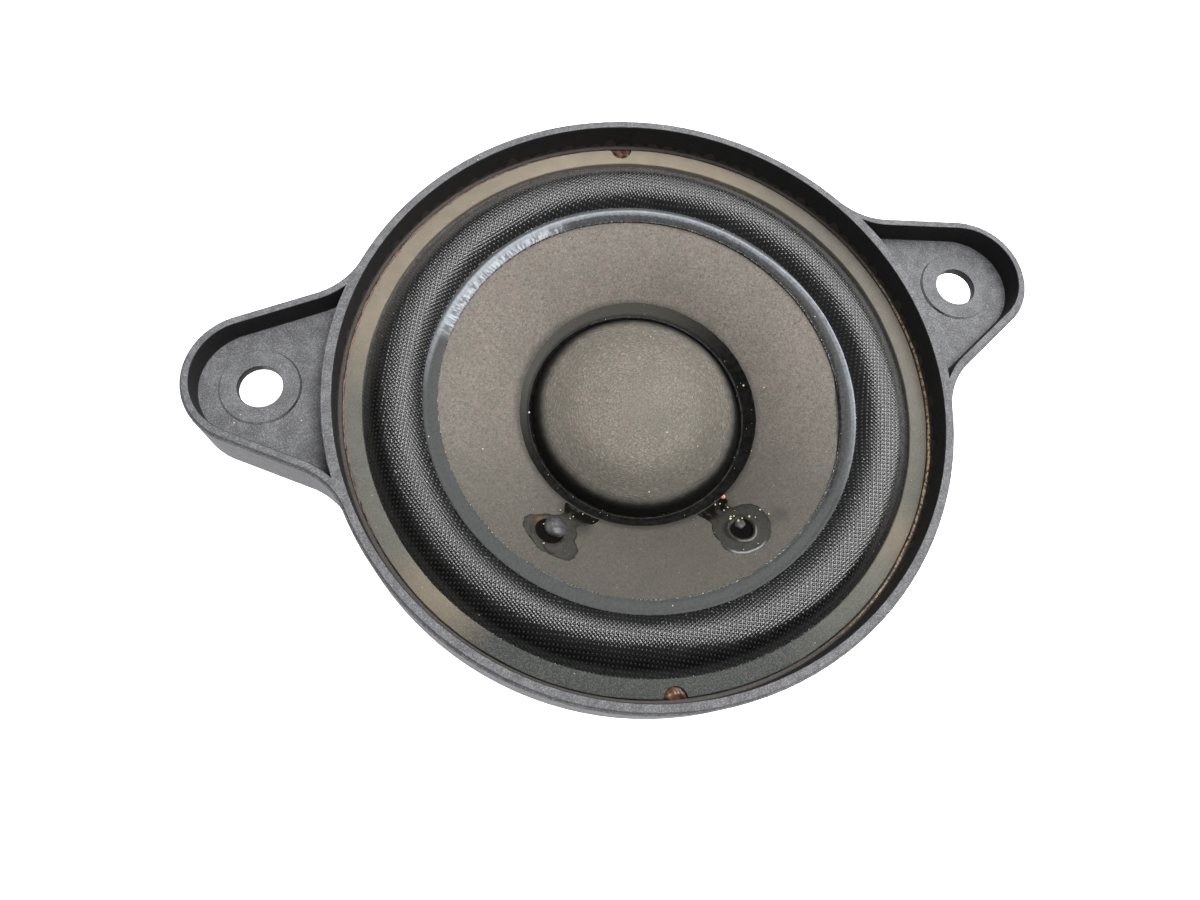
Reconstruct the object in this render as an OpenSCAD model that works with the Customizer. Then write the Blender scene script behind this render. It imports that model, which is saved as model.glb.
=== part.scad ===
// Car midrange driver, 101 mm rim, two mounting ears, paper cone.
// Millimetres. Origin on the speaker axis in the flange's seat plane, +Z out of
// the front, X parallel to the line through the two ear holes.

/* [Flange] */
// Outer diameter of the round rim
rim_d = 101; // [101:0.5:104]
// Height of the rim and ears above the seat plane
flange_h = 10; // [9.5:0.1:12]
// Thickness of the rim wall
rim_wall = 1.8; // [1.3:0.1:1.8]
// Depth of the cloth edge's landing below the rim top
landing_drop = 6.5; // [6:0.1:7]

/* [Ears] */
// Distance between the two ear holes
hole_pitch = 118.8; // [117:0.2:124]
// Height of the ear holes above the speaker axis, along Y
hole_y = 11; // [8:0.5:14]
// Diameter of the ear holes
hole_d = 6.8; // [5:0.1:7.5]
// Radius of an ear's round end
ear_r = 10.9; // [10:0.1:12]
// Thickness of the wall around an ear
ear_wall = 1.5; // [1.2:0.1:2]
// Angle by which each side of an ear widens towards the rim
ear_flare = 21; // [18:1:23]
// Radius of the hollow fillet where an ear meets the rim
ear_fillet = 12; // [10:1:14]
// Depth of the pocket in the top of an ear
pocket_depth = 4.3; // [3.5:0.1:4.6]
// Thickness of the plate that the screw clamps
ear_plate = 1.2; // [1:0.1:2.4]

/* [Basket] */
// Outer diameter of the spigot that centres the basket in the panel
spigot_d = 91; // [90:0.5:92]
// Length of the spigot behind the seat plane
spigot_h = 6; // [5:0.5:7]
// Wall thickness of the basket
basket_wall = 1.8; // [1.5:0.1:2.2]
// Depth of the basket's floor behind the seat plane
basket_depth = 22.6; // [22:0.1:25]
// Width of a spoke
spoke_w = 9; // [7:0.5:11]

/* [Cone and dust cap] */
// Radius of the arc that the cone's curved side follows
cone_arc_r = 28; // [27:0.5:30]
// Thickness of the paper cone
cone_t = 0.5; // [0.4:0.05:0.7]
// Radius of the cone's outer edge
cone_edge_r = 35.6; // [35.4:0.1:35.7]
// Radius of the dust cap's foot
cap_r = 18; // [17.5:0.1:18.4]
// Radius of the dome's sphere
cap_dome_r = 43.9; // [38:0.5:50]
// Thickness of the dust cap
cap_t = 0.4; // [0.3:0.05:0.6]

/* [Surround and spider] */
// Thickness of the coated cloth
cloth_t = 0.4; // [0.3:0.05:0.5]
// Radius where the roll leaves the cone
roll_in_r = 35.8; // [35.7:0.1:36]
// Radius where the roll meets its outer flange
roll_out_r = 44.75; // [44.5:0.05:44.8]
// Height of the roll above the line through its two feet
roll_rise = 2.75; // [2.2:0.05:3]
// Number of full waves in the spider
spider_waves = 5; // [4:1:6]

/* [Motor] */
// Outer diameter of the voice coil's former
former_d = 25.7; // [25.5:0.1:25.8]
// Height of the winding
winding_h = 8; // [7:0.5:9]
// Outer diameter of the ring magnet
magnet_d = 60; // [56:1:62]
// Height of the ring magnet
magnet_h = 12; // [10:0.5:13]
// Outer diameter of the two steel plates
plate_d = 56; // [54:1:58]
// Thickness of each steel plate
plate_t = 4; // [3.5:0.5:5]
// Diameter of the pole piece
pole_d = 24.5; // [24.3:0.1:24.6]
// Diameter of the vent through the pole piece
vent_d = 8; // [6:0.5:10]

/* [Hidden] */
$fn = 96;
e = 1; // how far a cutter runs past the face that it opens
hair = 0.02; // by this much two outlines cross where they would only touch

// Flange
rim_r = rim_d / 2;
rim_in_r = rim_r - rim_wall;
landing_z = flange_h - landing_drop;
ledge_w = 0.65; // narrow shelf between the gasket and the rim wall
ledge_z = landing_z + 1.4;
rebate_w = 0.4; // step around the top outer edge of rim and ears
rebate_h = 0.5;
hole_r = hole_d / 2;
hole_x = hole_pitch / 2;
ear_dist = sqrt(pow(hole_x, 2) + pow(hole_y, 2));
ear_angle = atan2(hole_y, hole_x);
pocket_z = flange_h - pocket_depth;
washer_r = 6.15;
washer_h = 0.3;

// Basket
spigot_r = spigot_d / 2;
bowl_in_r = spigot_r - basket_wall;
floor_t = 2.4;
floor_z = -basket_depth;
floor_top = floor_z + floor_t;
floor_r = 34.5;
floor_hole_r = 16;
floor_chamfer = 1.2;
shelf_top = floor_top + 3.95;
shelf_in_r = 24.6;
shelf_out_r = 28.2;
spokes = 6;
spoke_step = 360 / spokes;
window_top = -spigot_h - 0.5;
pad_y = -38; // outer face of the flat pad that carries the terminals
pad_w = 25;
pad_t = 2;
pad_foot = 12; // how far the pad's foot reaches in over the floor

// Cone: an arc through its outer edge and the dust cap's foot
cone_edge_z = 4.28;
cap_seat_z = -4.4;
cone_chord = [cone_edge_r - cap_r, cone_edge_z - cap_seat_z];
cone_half = norm(cone_chord) / 2;
cone_drop = sqrt(pow(cone_arc_r, 2) - pow(cone_half, 2));
cone_c = [(cone_edge_r + cap_r) / 2 + cone_drop * cone_chord[1] / (2 * cone_half),
    (cone_edge_z + cap_seat_z) / 2 - cone_drop * cone_chord[0] / (2 * cone_half)];
former_r = former_d / 2;
former_t = 0.2;
function cone_z(r) = cone_c[1] + sqrt(pow(cone_arc_r, 2) - pow(cone_c[0] - r, 2));
function cone_top(r) = cone_c[1] + sqrt(pow(cone_arc_r + cone_t / 2, 2) - pow(cone_c[0] - r, 2));
function cone_slope(r) = asin((cone_c[0] - r) / cone_arc_r);
function cone_angle(r, arc_r) = acos((r - cone_c[0]) / arc_r);
neck_z = cone_z(former_r);

// Dust cap: a dome, a tight shoulder and a steep foot
shoulder_r = 1.5;
foot_slope = 67;
foot_h = 2;
foot_z = cone_top(cap_r);
foot_top = [cap_r - foot_h / tan(foot_slope), foot_z + foot_h];
shoulder_c = foot_top - shoulder_r * [sin(foot_slope), cos(foot_slope)];
dome_angle = asin(shoulder_c[0] / (cap_dome_r - shoulder_r));
dome_c = [0, shoulder_c[1] - (cap_dome_r - shoulder_r) * cos(dome_angle)];
glue_out_r = 20.2;

// Surround: inner flange on the cone, a roll, and a flat outer flange
flange_arc_r = cone_arc_r + cone_t / 2 + cloth_t / 2;
roll_in = [roll_in_r, cone_c[1] + sqrt(pow(flange_arc_r, 2) - pow(cone_c[0] - roll_in_r, 2))];
roll_out = [roll_out_r, landing_z + cloth_t / 2];
roll_chord = roll_out - roll_in;
roll_half = norm(roll_chord) / 2;
roll_r = (pow(roll_half, 2) + pow(roll_rise, 2)) / (2 * roll_rise);
roll_up = [-roll_chord[1], roll_chord[0]] / (2 * roll_half);
roll_c = (roll_in + roll_out) / 2 - (roll_r - roll_rise) * roll_up;
bond_in_r = 33.26;
film_t = 0.15;
bead_r = 0.3;
bead_at_r = roll_in_r - 0.6;
cloth_out_r = 47.9;
gasket_in_r = 45.05;
gasket_out_r = 48;
gasket_t = 1;
gasket_z = landing_z + cloth_t;
notch_r = 1.8;
notch_angles = [82.2, 263];
notch_drop_r = 2.3; // sphere that domes the drops in the notches
bead_start = 293; // bead of glue along the ledge, anticlockwise from +X
bead_span = 75;
ledge_bead_r = 0.45;

// Lead points on the cone
lead_r = 26;
lead_left_angle = 224.8;
lead_right_angle = 297;
lead_d = 1;
lead_hole_r = 0.6;
drop_h = 0.9;
lump_r = 1.35; // glue dome over the left lead
crater_r1 = 2.1; // glue ring round the right lead, at its foot and its top
crater_r2 = 1.3;
crater_h = 0.6;
lug_x = 6.5;
lug_z = -12;
lug_t = 0.5;
lug_r = 2.6;
lug_w = 3.2;
lug_l = 5;
solder_r = 1.7;
solder_h = 1.2;

// Motor, from the basket's floor backwards
plate_r = plate_d / 2;
gap_r = 13.9;
top_plate_z = floor_z - plate_t;
magnet_z = top_plate_z - magnet_h;
back_z = magnet_z - plate_t;
magnet_hole_r = 18;
pole_r = pole_d / 2;
pole_spigot_r = 9;
coil_mid = floor_z - plate_t / 2;
winding_t = 0.6;
former_top = cone_top(former_r) + 0.9;
former_bottom = coil_mid - winding_h / 2 - 0.6;
spider_z = shelf_top + 0.15;
spider_t = 0.3;
spider_rise = 0.6;
spider_in_r = former_r + 1.2;
screw_r = 2;
screw_head_r = 3.6;
screw_head_h = 1.6;
screw_gap = 0.2;
screw_ring_r = 20.4;
slot_w = 0.8; // cross slot in a screw's head
slot_l = 4;

// Terminals, on the outside of the pad
board_t = 1.6;
board_w = 22;
board_top = -8.5;
board_bottom = floor_z + 2;
tab_t = 0.8;
tab_end = floor_z - 8;
tab_tip_h = 1.2; // tapered tip of a blade, and how much each side narrows
tab_tip_w = 0.8;
tab_hole_r = 0.7;
tab_hole_h = 4;
rivet_r = 1.2;

plastic = [0.2, 0.2, 0.21];
paper = [0.52, 0.5, 0.47];
glue = [0.08, 0.08, 0.08];
amber = [0.45, 0.28, 0.12];
steel = [0.72, 0.72, 0.7];
brass = [0.8, 0.66, 0.35];
tin = [0.78, 0.78, 0.76];

// Turns a 2-D profile, drawn with X as radius, around the speaker axis.
module turned() rotate_extrude() children();

// A strip of thickness t along a circle's arc, from angle a to angle b.
module arc_strip(centre, r, t, a, b) {
    far = 3 * r;
    translate(centre) intersection() {
        difference() {
            circle(r + t / 2, $fn = 720);
            circle(r - t / 2, $fn = 720);
        }
        polygon([[0, 0], far * [cos(a), sin(a)], far * [cos((a + b) / 2), sin((a + b) / 2)],
            far * [cos(b), sin(b)]]);
    }
}

// Outline of one ear, lying along +X, drawn smaller by inset. Arcs and straight
// sides cross each other by a hair instead of just touching.
module ear_outline(inset) {
    side = ear_dist * sin(ear_flare) + ear_r;
    reach = rim_r + ear_fillet - hair;
    turn = 90 - ear_flare - acos((side + ear_fillet) / reach);
    hub = reach * [cos(turn), sin(turn)];
    out = [sin(ear_flare), cos(ear_flare)];
    foot = hub - (ear_fillet + inset - hair) * out;
    start = [ear_dist, 0] + (ear_r - inset - hair) * out;
    difference() {
        union() {
            translate([ear_dist, 0]) circle(ear_r - inset);
            polygon([[0, 0], hub, foot, start, [ear_dist, 0],
                [start[0], -start[1]], [foot[0], -foot[1]], [hub[0], -hub[1]]]);
        }
        for (k = [1, -1]) translate([hub[0], k * hub[1]]) circle(ear_fillet + inset);
    }
}

// Draws its child at both ears.
module both_ears() {
    rotate([0, 0, ear_angle]) children();
    mirror([1, 0, 0]) rotate([0, 0, ear_angle]) children();
}

module flange_outline(inset) {
    circle(rim_r - inset, $fn = 180);
    both_ears() ear_outline(inset);
}

// The hollow inside an ear's wall, outside the rim wall.
module ear_hollow() {
    difference() {
        ear_outline(ear_wall);
        circle(rim_r, $fn = 180);
    }
}

module flange() {
    linear_extrude(flange_h - rebate_h) flange_outline(0);
    translate([0, 0, flange_h - rebate_h]) linear_extrude(rebate_h) flange_outline(rebate_w);
}

module ear_cuts() {
    translate([0, 0, pocket_z]) linear_extrude(pocket_depth + e) ear_hollow();
    translate([0, 0, -e]) linear_extrude(pocket_z - ear_plate + e) ear_hollow();
}

module ear_washers() {
    translate([ear_dist, 0, pocket_z - 0.5]) cylinder(h = washer_h + 0.5, r = washer_r);
}

module ear_hole() {
    translate([ear_dist, 0, 0]) cylinder(h = flange_h, r = hole_r);
}

// Everything of the basket that is round, behind and inside the flange.
module bowl_profile() {
    polygon([[bowl_in_r, landing_z], [spigot_r, landing_z], [spigot_r, -spigot_h],
        [floor_r, floor_z + floor_chamfer], [floor_r, floor_z], [floor_hole_r, floor_z],
        [floor_hole_r, floor_top], [shelf_in_r, floor_top], [shelf_in_r, shelf_top],
        [shelf_out_r, shelf_top], [shelf_out_r, floor_top],
        [floor_r - basket_wall - 0.6, floor_top], [bowl_in_r, -spigot_h - 0.4]]);
}

module bowl_cut() {
    turned() {
        polygon([[0, landing_z], [rim_in_r - ledge_w, landing_z], [rim_in_r - ledge_w, ledge_z],
            [rim_in_r, ledge_z], [rim_in_r + 0.1, flange_h + e], [0, flange_h + e]]);
        translate([0, -e]) square([bowl_in_r, landing_z + 2 * e]);
    }
}

// One window between two spokes, centred on +X.
module window() {
    half = spoke_step / 2;
    inner = shelf_out_r + 0.6;
    edge = [for (s = [inner, rim_r]) [s * cos(half) + spoke_w / 2 * sin(half),
        s * sin(half) - spoke_w / 2 * cos(half)]];
    translate([0, 0, floor_top]) linear_extrude(window_top - floor_top) difference() {
        polygon([edge[0], edge[1], [edge[1][0], -edge[1][1]], [edge[0][0], -edge[0][1]]]);
        circle(inner);
    }
}

// Flat pad for the terminals, in place of the spoke at -Y.
module terminal_pad() {
    translate([-pad_w / 2, pad_y, floor_z]) cube([pad_w, pad_t, window_top - floor_z + 0.5]);
    intersection() {
        turned() translate([20, window_top]) square([spigot_r - 20.2, 2]);
        translate([-pad_w / 2, -rim_r, window_top]) cube([pad_w, rim_r + pad_y + pad_t, 2]);
    }
    translate([-pad_w / 2, pad_y, floor_z]) cube([pad_w, pad_foot, floor_t]);
}

module pad_clearance() {
    translate([-pad_w / 2, -rim_r, floor_top]) cube([pad_w, rim_r + pad_y, window_top - floor_top]);
}

module rivet_holes(r) {
    for (k = [-1, 1]) translate([k * lug_x, pad_y - board_t - 2, lug_z]) rotate([-90, 0, 0])
        cylinder(h = 6 + board_t, r = r);
}

// Flange, ears and landing, open in the middle.
module front_frame() difference() {
    flange();
    bowl_cut();
    both_ears() ear_cuts();
}

// Spigot, spokes, floor and the spider's shelf.
module rear_bowl() difference() {
    turned() bowl_profile();
    for (k = [0:spokes - 1]) rotate([0, 0, k * spoke_step]) window();
    pad_clearance();
}

// Draws its child at each of the four motor screws.
module at_screws() for (k = [0:3]) rotate([0, 0, 45 + 90 * k]) translate([screw_ring_r, 0, 0]) children();

module basket() color(plastic) difference() {
    union() {
        front_frame();
        rear_bowl();
        both_ears() ear_washers();
        terminal_pad();
    }
    both_ears() ear_hole();
    rivet_holes(rivet_r);
    at_screws() {
        translate([0, 0, floor_z - e]) cylinder(h = floor_t + 2 * e, r = screw_r + screw_gap);
        translate([0, 0, floor_top - screw_head_h]) cylinder(h = screw_head_h + 0.01,
            r1 = screw_r + screw_gap, r2 = screw_head_r + screw_gap);
    }
}

module gasket_ring() color([0.62, 0.6, 0.52]) translate([0, 0, gasket_z]) difference() {
    cylinder(h = gasket_t, r = gasket_out_r, $fn = 180);
    translate([0, 0, -e]) cylinder(h = gasket_t + 2 * e, r = gasket_in_r, $fn = 180);
    for (a = notch_angles) rotate([0, 0, a]) translate([gasket_out_r, 0, -e])
        cylinder(h = gasket_t + 2 * e, r = notch_r);
}

// Two drops in the gasket's notches and a bead along the ledge.
module gasket_glue() color(amber) {
    for (a = notch_angles) rotate([0, 0, a]) translate([gasket_out_r, 0, gasket_z]) intersection() {
        translate([0, 0, -1.6]) sphere(r = notch_drop_r);
        translate([-3, -3, 0]) cube([2.98, 6, 3]);
        cylinder(h = 3, r = notch_r - 0.1);
    }
    rotate([0, 0, bead_start]) rotate_extrude(angle = bead_span)
        translate([rim_in_r - hair, ledge_z]) intersection() {
            circle(ledge_bead_r, $fn = 48);
            translate([-1, 0]) square([1, 1]);
        }
}

module surround() color([0.1, 0.1, 0.11]) turned() union() {
    a_in = atan2(roll_in[1] - roll_c[1], roll_in[0] - roll_c[0]);
    a_out = atan2(roll_out[1] - roll_c[1], roll_out[0] - roll_c[0]);
    arc_strip(roll_c, roll_r, cloth_t, a_out, a_in);
    arc_strip(cone_c, flange_arc_r, cloth_t, cone_angle(roll_in_r, flange_arc_r),
        cone_angle(bond_in_r, flange_arc_r));
    translate([roll_out_r - 0.1, landing_z]) square([cloth_out_r - roll_out_r + 0.1, cloth_t]);
}

// A film of glue on the cloth's inner flange, with a bead along the roll's foot.
module surround_glue() color([0.45, 0.47, 0.5]) turned() difference() {
    film_arc_r = flange_arc_r + cloth_t / 2;
    union() {
        arc_strip(cone_c, film_arc_r + film_t / 2, film_t, cone_angle(bead_at_r, flange_arc_r),
            cone_angle(bond_in_r - 0.1, flange_arc_r));
        translate([bead_at_r, roll_in[1] + cloth_t / 2]) circle(bead_r, $fn = 48);
    }
    translate(cone_c) circle(film_arc_r, $fn = 720);
}

module cone() color(paper) difference() {
    turned() arc_strip(cone_c, cone_arc_r, cone_t, cone_angle(cone_edge_r, cone_arc_r),
        cone_angle(former_r - 1, cone_arc_r));
    translate([0, 0, neck_z - 6]) cylinder(h = 12, r = former_r);
    for (a = [lead_left_angle, lead_right_angle]) on_cone(a) cylinder(h = 4, r = lead_hole_r, center = true);
}

// The cap's half profile, larger by grow all round.
module cap_profile(grow) {
    out = foot_top + grow * [sin(foot_slope), cos(foot_slope)];
    base = out + 1.5 * foot_h * [cos(foot_slope), -sin(foot_slope)];
    knee = dome_c + (cap_dome_r + grow) * [sin(dome_angle), cos(dome_angle)];
    polygon([[0, base[1]], base, out, shoulder_c, knee, [0, shoulder_c[1]]]);
    translate(shoulder_c) circle(shoulder_r + grow);
    intersection() {
        translate(dome_c) circle(cap_dome_r + grow, $fn = 720);
        polygon([dome_c, knee + [tan(dome_angle) * 5, 5], [0, knee[1] + 9]]);
    }
}

module dust_cap() color(paper * 1.05) difference() {
    turned() intersection() {
        difference() {
            cap_profile(cap_t / 2);
            cap_profile(-cap_t / 2);
        }
        translate([0, foot_z - 1]) square([cap_r + 3, 12]);
    }
    turned() translate(cone_c) circle(cone_arc_r + cone_t / 2, $fn = 720);
}

// Black glue that fills the groove between the cone and the cap's foot.
module dust_cap_glue() color(glue) difference() {
    turned() difference() {
        polygon([[glue_out_r, cone_z(glue_out_r) + 0.24], [glue_out_r - 0.3, cone_z(glue_out_r) + 0.3],
            [cap_r + 0.5, foot_z + 0.75], [cap_r - 0.1, foot_z + 0.8], [cap_r - 1, foot_z - 1],
            [glue_out_r, cone_z(glue_out_r) - 1]]);
        translate(cone_c) circle(cone_arc_r + cone_t / 2, $fn = 720);
        cap_profile(cap_t / 2);
        square([cap_r - 1.2, 40], center = true);
    }
    turned() translate([0, foot_z - 3]) square([cap_r - 0.35, 6]);
}

// Places its child on the cone, at radius lead_r, with +Z along the cone's normal.
module on_cone(angle) {
    rotate([0, 0, angle]) translate([lead_r, 0, cone_z(lead_r)]) rotate([0, -cone_slope(lead_r), 0])
        children();
}

// Glue through a lead's hole in the cone, with a drop below that holds the lead's end.
// Its child is the glue on top of the cone.
module lead_glue(angle) {
    difference() {
        on_cone(angle) children();
        turned() translate(cone_c) circle(cone_arc_r + cone_t / 2, $fn = 720);
    }
    on_cone(angle) cylinder(h = cone_t + 0.4, r = lead_hole_r, center = true);
    intersection() {
        on_cone(angle) translate([0, 0, -cone_t / 2 - drop_h]) cylinder(h = drop_h + 0.3, r1 = 1.1, r2 = 1.8);
        turned() translate(cone_c) circle(cone_arc_r - cone_t / 2, $fn = 720);
    }
}

module lead_glue_left() color(glue) lead_glue(lead_left_angle) sphere(r = lump_r);

module lead_glue_right() color(glue) lead_glue(lead_right_angle) difference() {
    cylinder(h = cone_t / 2 + crater_h, r1 = crater_r1, r2 = crater_r2);
    translate([0, 0, cone_t / 2 + 0.25]) cylinder(h = 1, r1 = 0.7, r2 = 1);
}

// A point on a Bezier curve with four control points, and its direction.
function bezier(p, t) = pow(1 - t, 3) * p[0] + 3 * pow(1 - t, 2) * t * p[1]
    + 3 * (1 - t) * pow(t, 2) * p[2] + pow(t, 3) * p[3];
function bezier_way(p, t) = pow(1 - t, 2) * (p[1] - p[0]) + 2 * (1 - t) * t * (p[2] - p[1])
    + pow(t, 2) * (p[3] - p[2]);
function unit(v) = v / norm(v);

// An eight-sided tube along the curve.
module lead_tube(p, r, rings) {
    sides = 8;
    points = [for (i = [0:rings]) let (t = i / rings, way = unit(bezier_way(p, t)),
        across = unit(cross(way, [1, 0, 0])), up = cross(across, way))
        for (j = [0:sides - 1]) bezier(p, t) + r * (cos(j * 45) * across + sin(j * 45) * up)];
    walls = [for (i = [0:rings - 1]) for (j = [0:sides - 1])
        let (k = (j + 1) % sides) [i * sides + j, i * sides + k, (i + 1) * sides + k, (i + 1) * sides + j]];
    polyhedron(points, concat(walls,
        [[for (j = [0:sides - 1]) sides - 1 - j], [for (j = [0:sides - 1]) rings * sides + j]]));
}

// A point at distance d below the cone, on the normal through a lead's hole.
function below_cone(angle, d) = let (s = cone_slope(lead_r), r = lead_r + d * sin(s))
    [r * cos(angle), r * sin(angle), cone_z(lead_r) - d * cos(s)];

module tinsel_lead(angle, side) {
    start = cone_t / 2 + drop_h + hair;
    end = [side * lug_x, pad_y + pad_t + lug_t + solder_h + 0.1, lug_z];
    lead_tube([below_cone(angle, start), below_cone(angle, start + 6), end + [side, 7, -2], end],
        lead_d / 2, 24);
}

module tinsel_lead_left() color([0.72, 0.6, 0.45]) tinsel_lead(lead_left_angle, -1);
module tinsel_lead_right() color([0.72, 0.6, 0.45]) tinsel_lead(lead_right_angle, 1);

module voice_coil_former() color([0.75, 0.55, 0.3]) translate([0, 0, former_bottom]) difference() {
    cylinder(h = former_top - former_bottom, r = former_r);
    translate([0, 0, -e]) cylinder(h = former_top - former_bottom + 2 * e, r = former_r - former_t);
}

module voice_coil_winding() color([0.72, 0.4, 0.2]) translate([0, 0, coil_mid - winding_h / 2]) difference() {
    cylinder(h = winding_h, r = former_r + winding_t);
    translate([0, 0, -e]) cylinder(h = winding_h + 2 * e, r = former_r);
}

// Paper band that stiffens the former above the winding.
module coil_paper_collar() color([0.66, 0.55, 0.4]) translate([0, 0, coil_mid + winding_h / 2]) difference() {
    cylinder(h = spider_z - 0.8 - coil_mid - winding_h / 2, r = former_r + 0.25);
    translate([0, 0, -e]) cylinder(h = 20, r = former_r);
}

module neck_glue() color(glue) turned()
    polygon([[former_r, former_top - 0.1], [former_r, cone_top(former_r) + 0.05],
        for (d = [1.1, 2.2]) [former_r + d, cone_top(former_r + d) + 0.05],
        [former_r + 1.2, cone_top(former_r + 1.2) + 0.7]]);

module spider() color([0.75, 0.6, 0.3]) turned() {
    pitch = (shelf_in_r - spider_in_r) / spider_waves;
    steps = 6 * spider_waves;
    collar_r = former_r + spider_t;
    line = concat([[collar_r, spider_z]],
        [for (i = [0:steps]) [spider_in_r + i * pitch / 6, spider_z + spider_rise * sin(60 * i)]],
        [[shelf_out_r - 0.4, spider_z]]);
    last = len(line) - 1;
    polygon(concat([[former_r, spider_z - 0.8], [former_r, spider_z + 0.8], [collar_r, spider_z + 0.8]],
        [for (i = [0:last]) line[i] + [0, spider_t / 2]],
        [for (i = [0:last]) line[last - i] - [0, spider_t / 2]], [[collar_r, spider_z - 0.8]]));
}

module spider_glue() color(glue) turned() translate([former_r, spider_z + 0.8])
    polygon([[0, 0], [spider_t, 0], [spider_t, -0.65], [0.95, -0.65], [spider_t, 0.35], [0, 0.6]]);

module ring(h, r_out, r_in) difference() {
    cylinder(h = h, r = r_out);
    translate([0, 0, -e]) cylinder(h = h + 2 * e, r = r_in);
}

module top_plate() color(steel) difference() {
    translate([0, 0, top_plate_z]) ring(plate_t, plate_r, gap_r);
    at_screws() translate([0, 0, top_plate_z - e]) cylinder(h = plate_t + 2 * e, r = screw_r);
}

module ring_magnet() color([0.16, 0.16, 0.17]) translate([0, 0, magnet_z])
    ring(magnet_h, magnet_d / 2, magnet_hole_r);

module back_plate() color(steel) translate([0, 0, back_z]) ring(plate_t, plate_r, pole_spigot_r);

module pole_piece() color(steel) difference() {
    union() {
        translate([0, 0, magnet_z]) cylinder(h = plate_t + magnet_h, r = pole_r);
        translate([0, 0, back_z]) cylinder(h = plate_t + 1, r = pole_spigot_r - hair);
    }
    translate([0, 0, back_z - e]) cylinder(h = 40, r = vent_d / 2);
    translate([0, 0, back_z - 0.01]) cylinder(h = 1.6, r1 = vent_d / 2 + 1.6, r2 = vent_d / 2);
}

// Countersunk screws from the basket's floor into the top plate.
module motor_screws() color([0.3, 0.3, 0.32]) at_screws() difference() {
    union() {
        translate([0, 0, top_plate_z + 0.3]) cylinder(h = plate_t + floor_t - 0.4, r = screw_r - 0.01);
        translate([0, 0, floor_top - screw_head_h])
            cylinder(h = screw_head_h - 0.1, r1 = screw_r - 0.01, r2 = screw_head_r);
    }
    for (t = [0, 90]) rotate([0, 0, t]) translate([-slot_l / 2, -slot_w / 2, floor_top - 1])
        cube([slot_l, slot_w, 2]);
}

module terminal_board() color([0.45, 0.28, 0.16]) difference() {
    translate([-board_w / 2, pad_y - board_t, board_bottom])
        cube([board_w, board_t, board_top - board_bottom]);
    rivet_holes(rivet_r);
}

// A flat blade on the board's face, with the hole in its tip.
module terminal_tab(x, w) difference() {
    union() {
        translate([x - w / 2, pad_y - board_t - tab_t, tab_end + tab_tip_h])
            cube([w, tab_t, lug_z + 3 - tab_end - tab_tip_h]);
        translate([x, pad_y - board_t, tab_end]) rotate([90, 0, 0]) linear_extrude(tab_t)
            polygon([[tab_tip_w - w / 2, 0], [w / 2 - tab_tip_w, 0], [w / 2, tab_tip_h], [-w / 2, tab_tip_h]]);
    }
    rivet_holes(rivet_r);
    translate([x, pad_y - board_t + e, tab_end + tab_hole_h]) rotate([90, 0, 0])
        cylinder(h = 4, r = tab_hole_r);
}

module terminal_positive() color(brass) terminal_tab(lug_x, 4.8);
module terminal_negative() color(brass) terminal_tab(-lug_x, 2.8);

module terminal_rivets() color(tin) for (k = [-1, 1])
    translate([k * lug_x, pad_y + pad_t + lug_t, lug_z]) rotate([90, 0, 0]) {
        cylinder(h = pad_t + lug_t + board_t + tab_t, r = rivet_r);
        translate([0, 0, -0.5]) cylinder(h = 0.5, r1 = 1.6, r2 = 2);
        translate([0, 0, pad_t + lug_t + board_t + tab_t]) cylinder(h = 0.6, r1 = 2, r2 = 1.5);
    }

// Tinned lugs on the inner face of the pad, one under each rivet.
module solder_lugs() color(tin) difference() {
    for (k = [-1, 1]) translate([k * lug_x, pad_y + pad_t + lug_t, lug_z]) rotate([90, 0, 0])
        linear_extrude(lug_t) {
            circle(lug_r);
            translate([-lug_w / 2, 0]) square([lug_w, lug_l]);
        }
    rivet_holes(rivet_r);
}

module solder_joint(side) translate([side * lug_x, pad_y + pad_t + lug_t + 0.5, lug_z]) rotate([-90, 0, 0])
    cylinder(h = solder_h - 0.5, r1 = solder_r - 0.2, r2 = 0.9);

module solder_joint_left() color(tin) solder_joint(-1);
module solder_joint_right() color(tin) solder_joint(1);

basket();
gasket_ring();
gasket_glue();
surround();
surround_glue();
cone();
dust_cap();
dust_cap_glue();
lead_glue_left();
lead_glue_right();
tinsel_lead_left();
tinsel_lead_right();
voice_coil_former();
voice_coil_winding();
coil_paper_collar();
neck_glue();
spider();
spider_glue();
top_plate();
ring_magnet();
back_plate();
pole_piece();
motor_screws();
terminal_board();
terminal_positive();
terminal_negative();
terminal_rivets();
solder_lugs();
solder_joint_left();
solder_joint_right();
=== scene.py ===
"""Looks of the car speaker driver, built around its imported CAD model."""

import math

import bmesh
import bpy
import numpy as np
from mathutils import Matrix, Vector, noise


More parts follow.
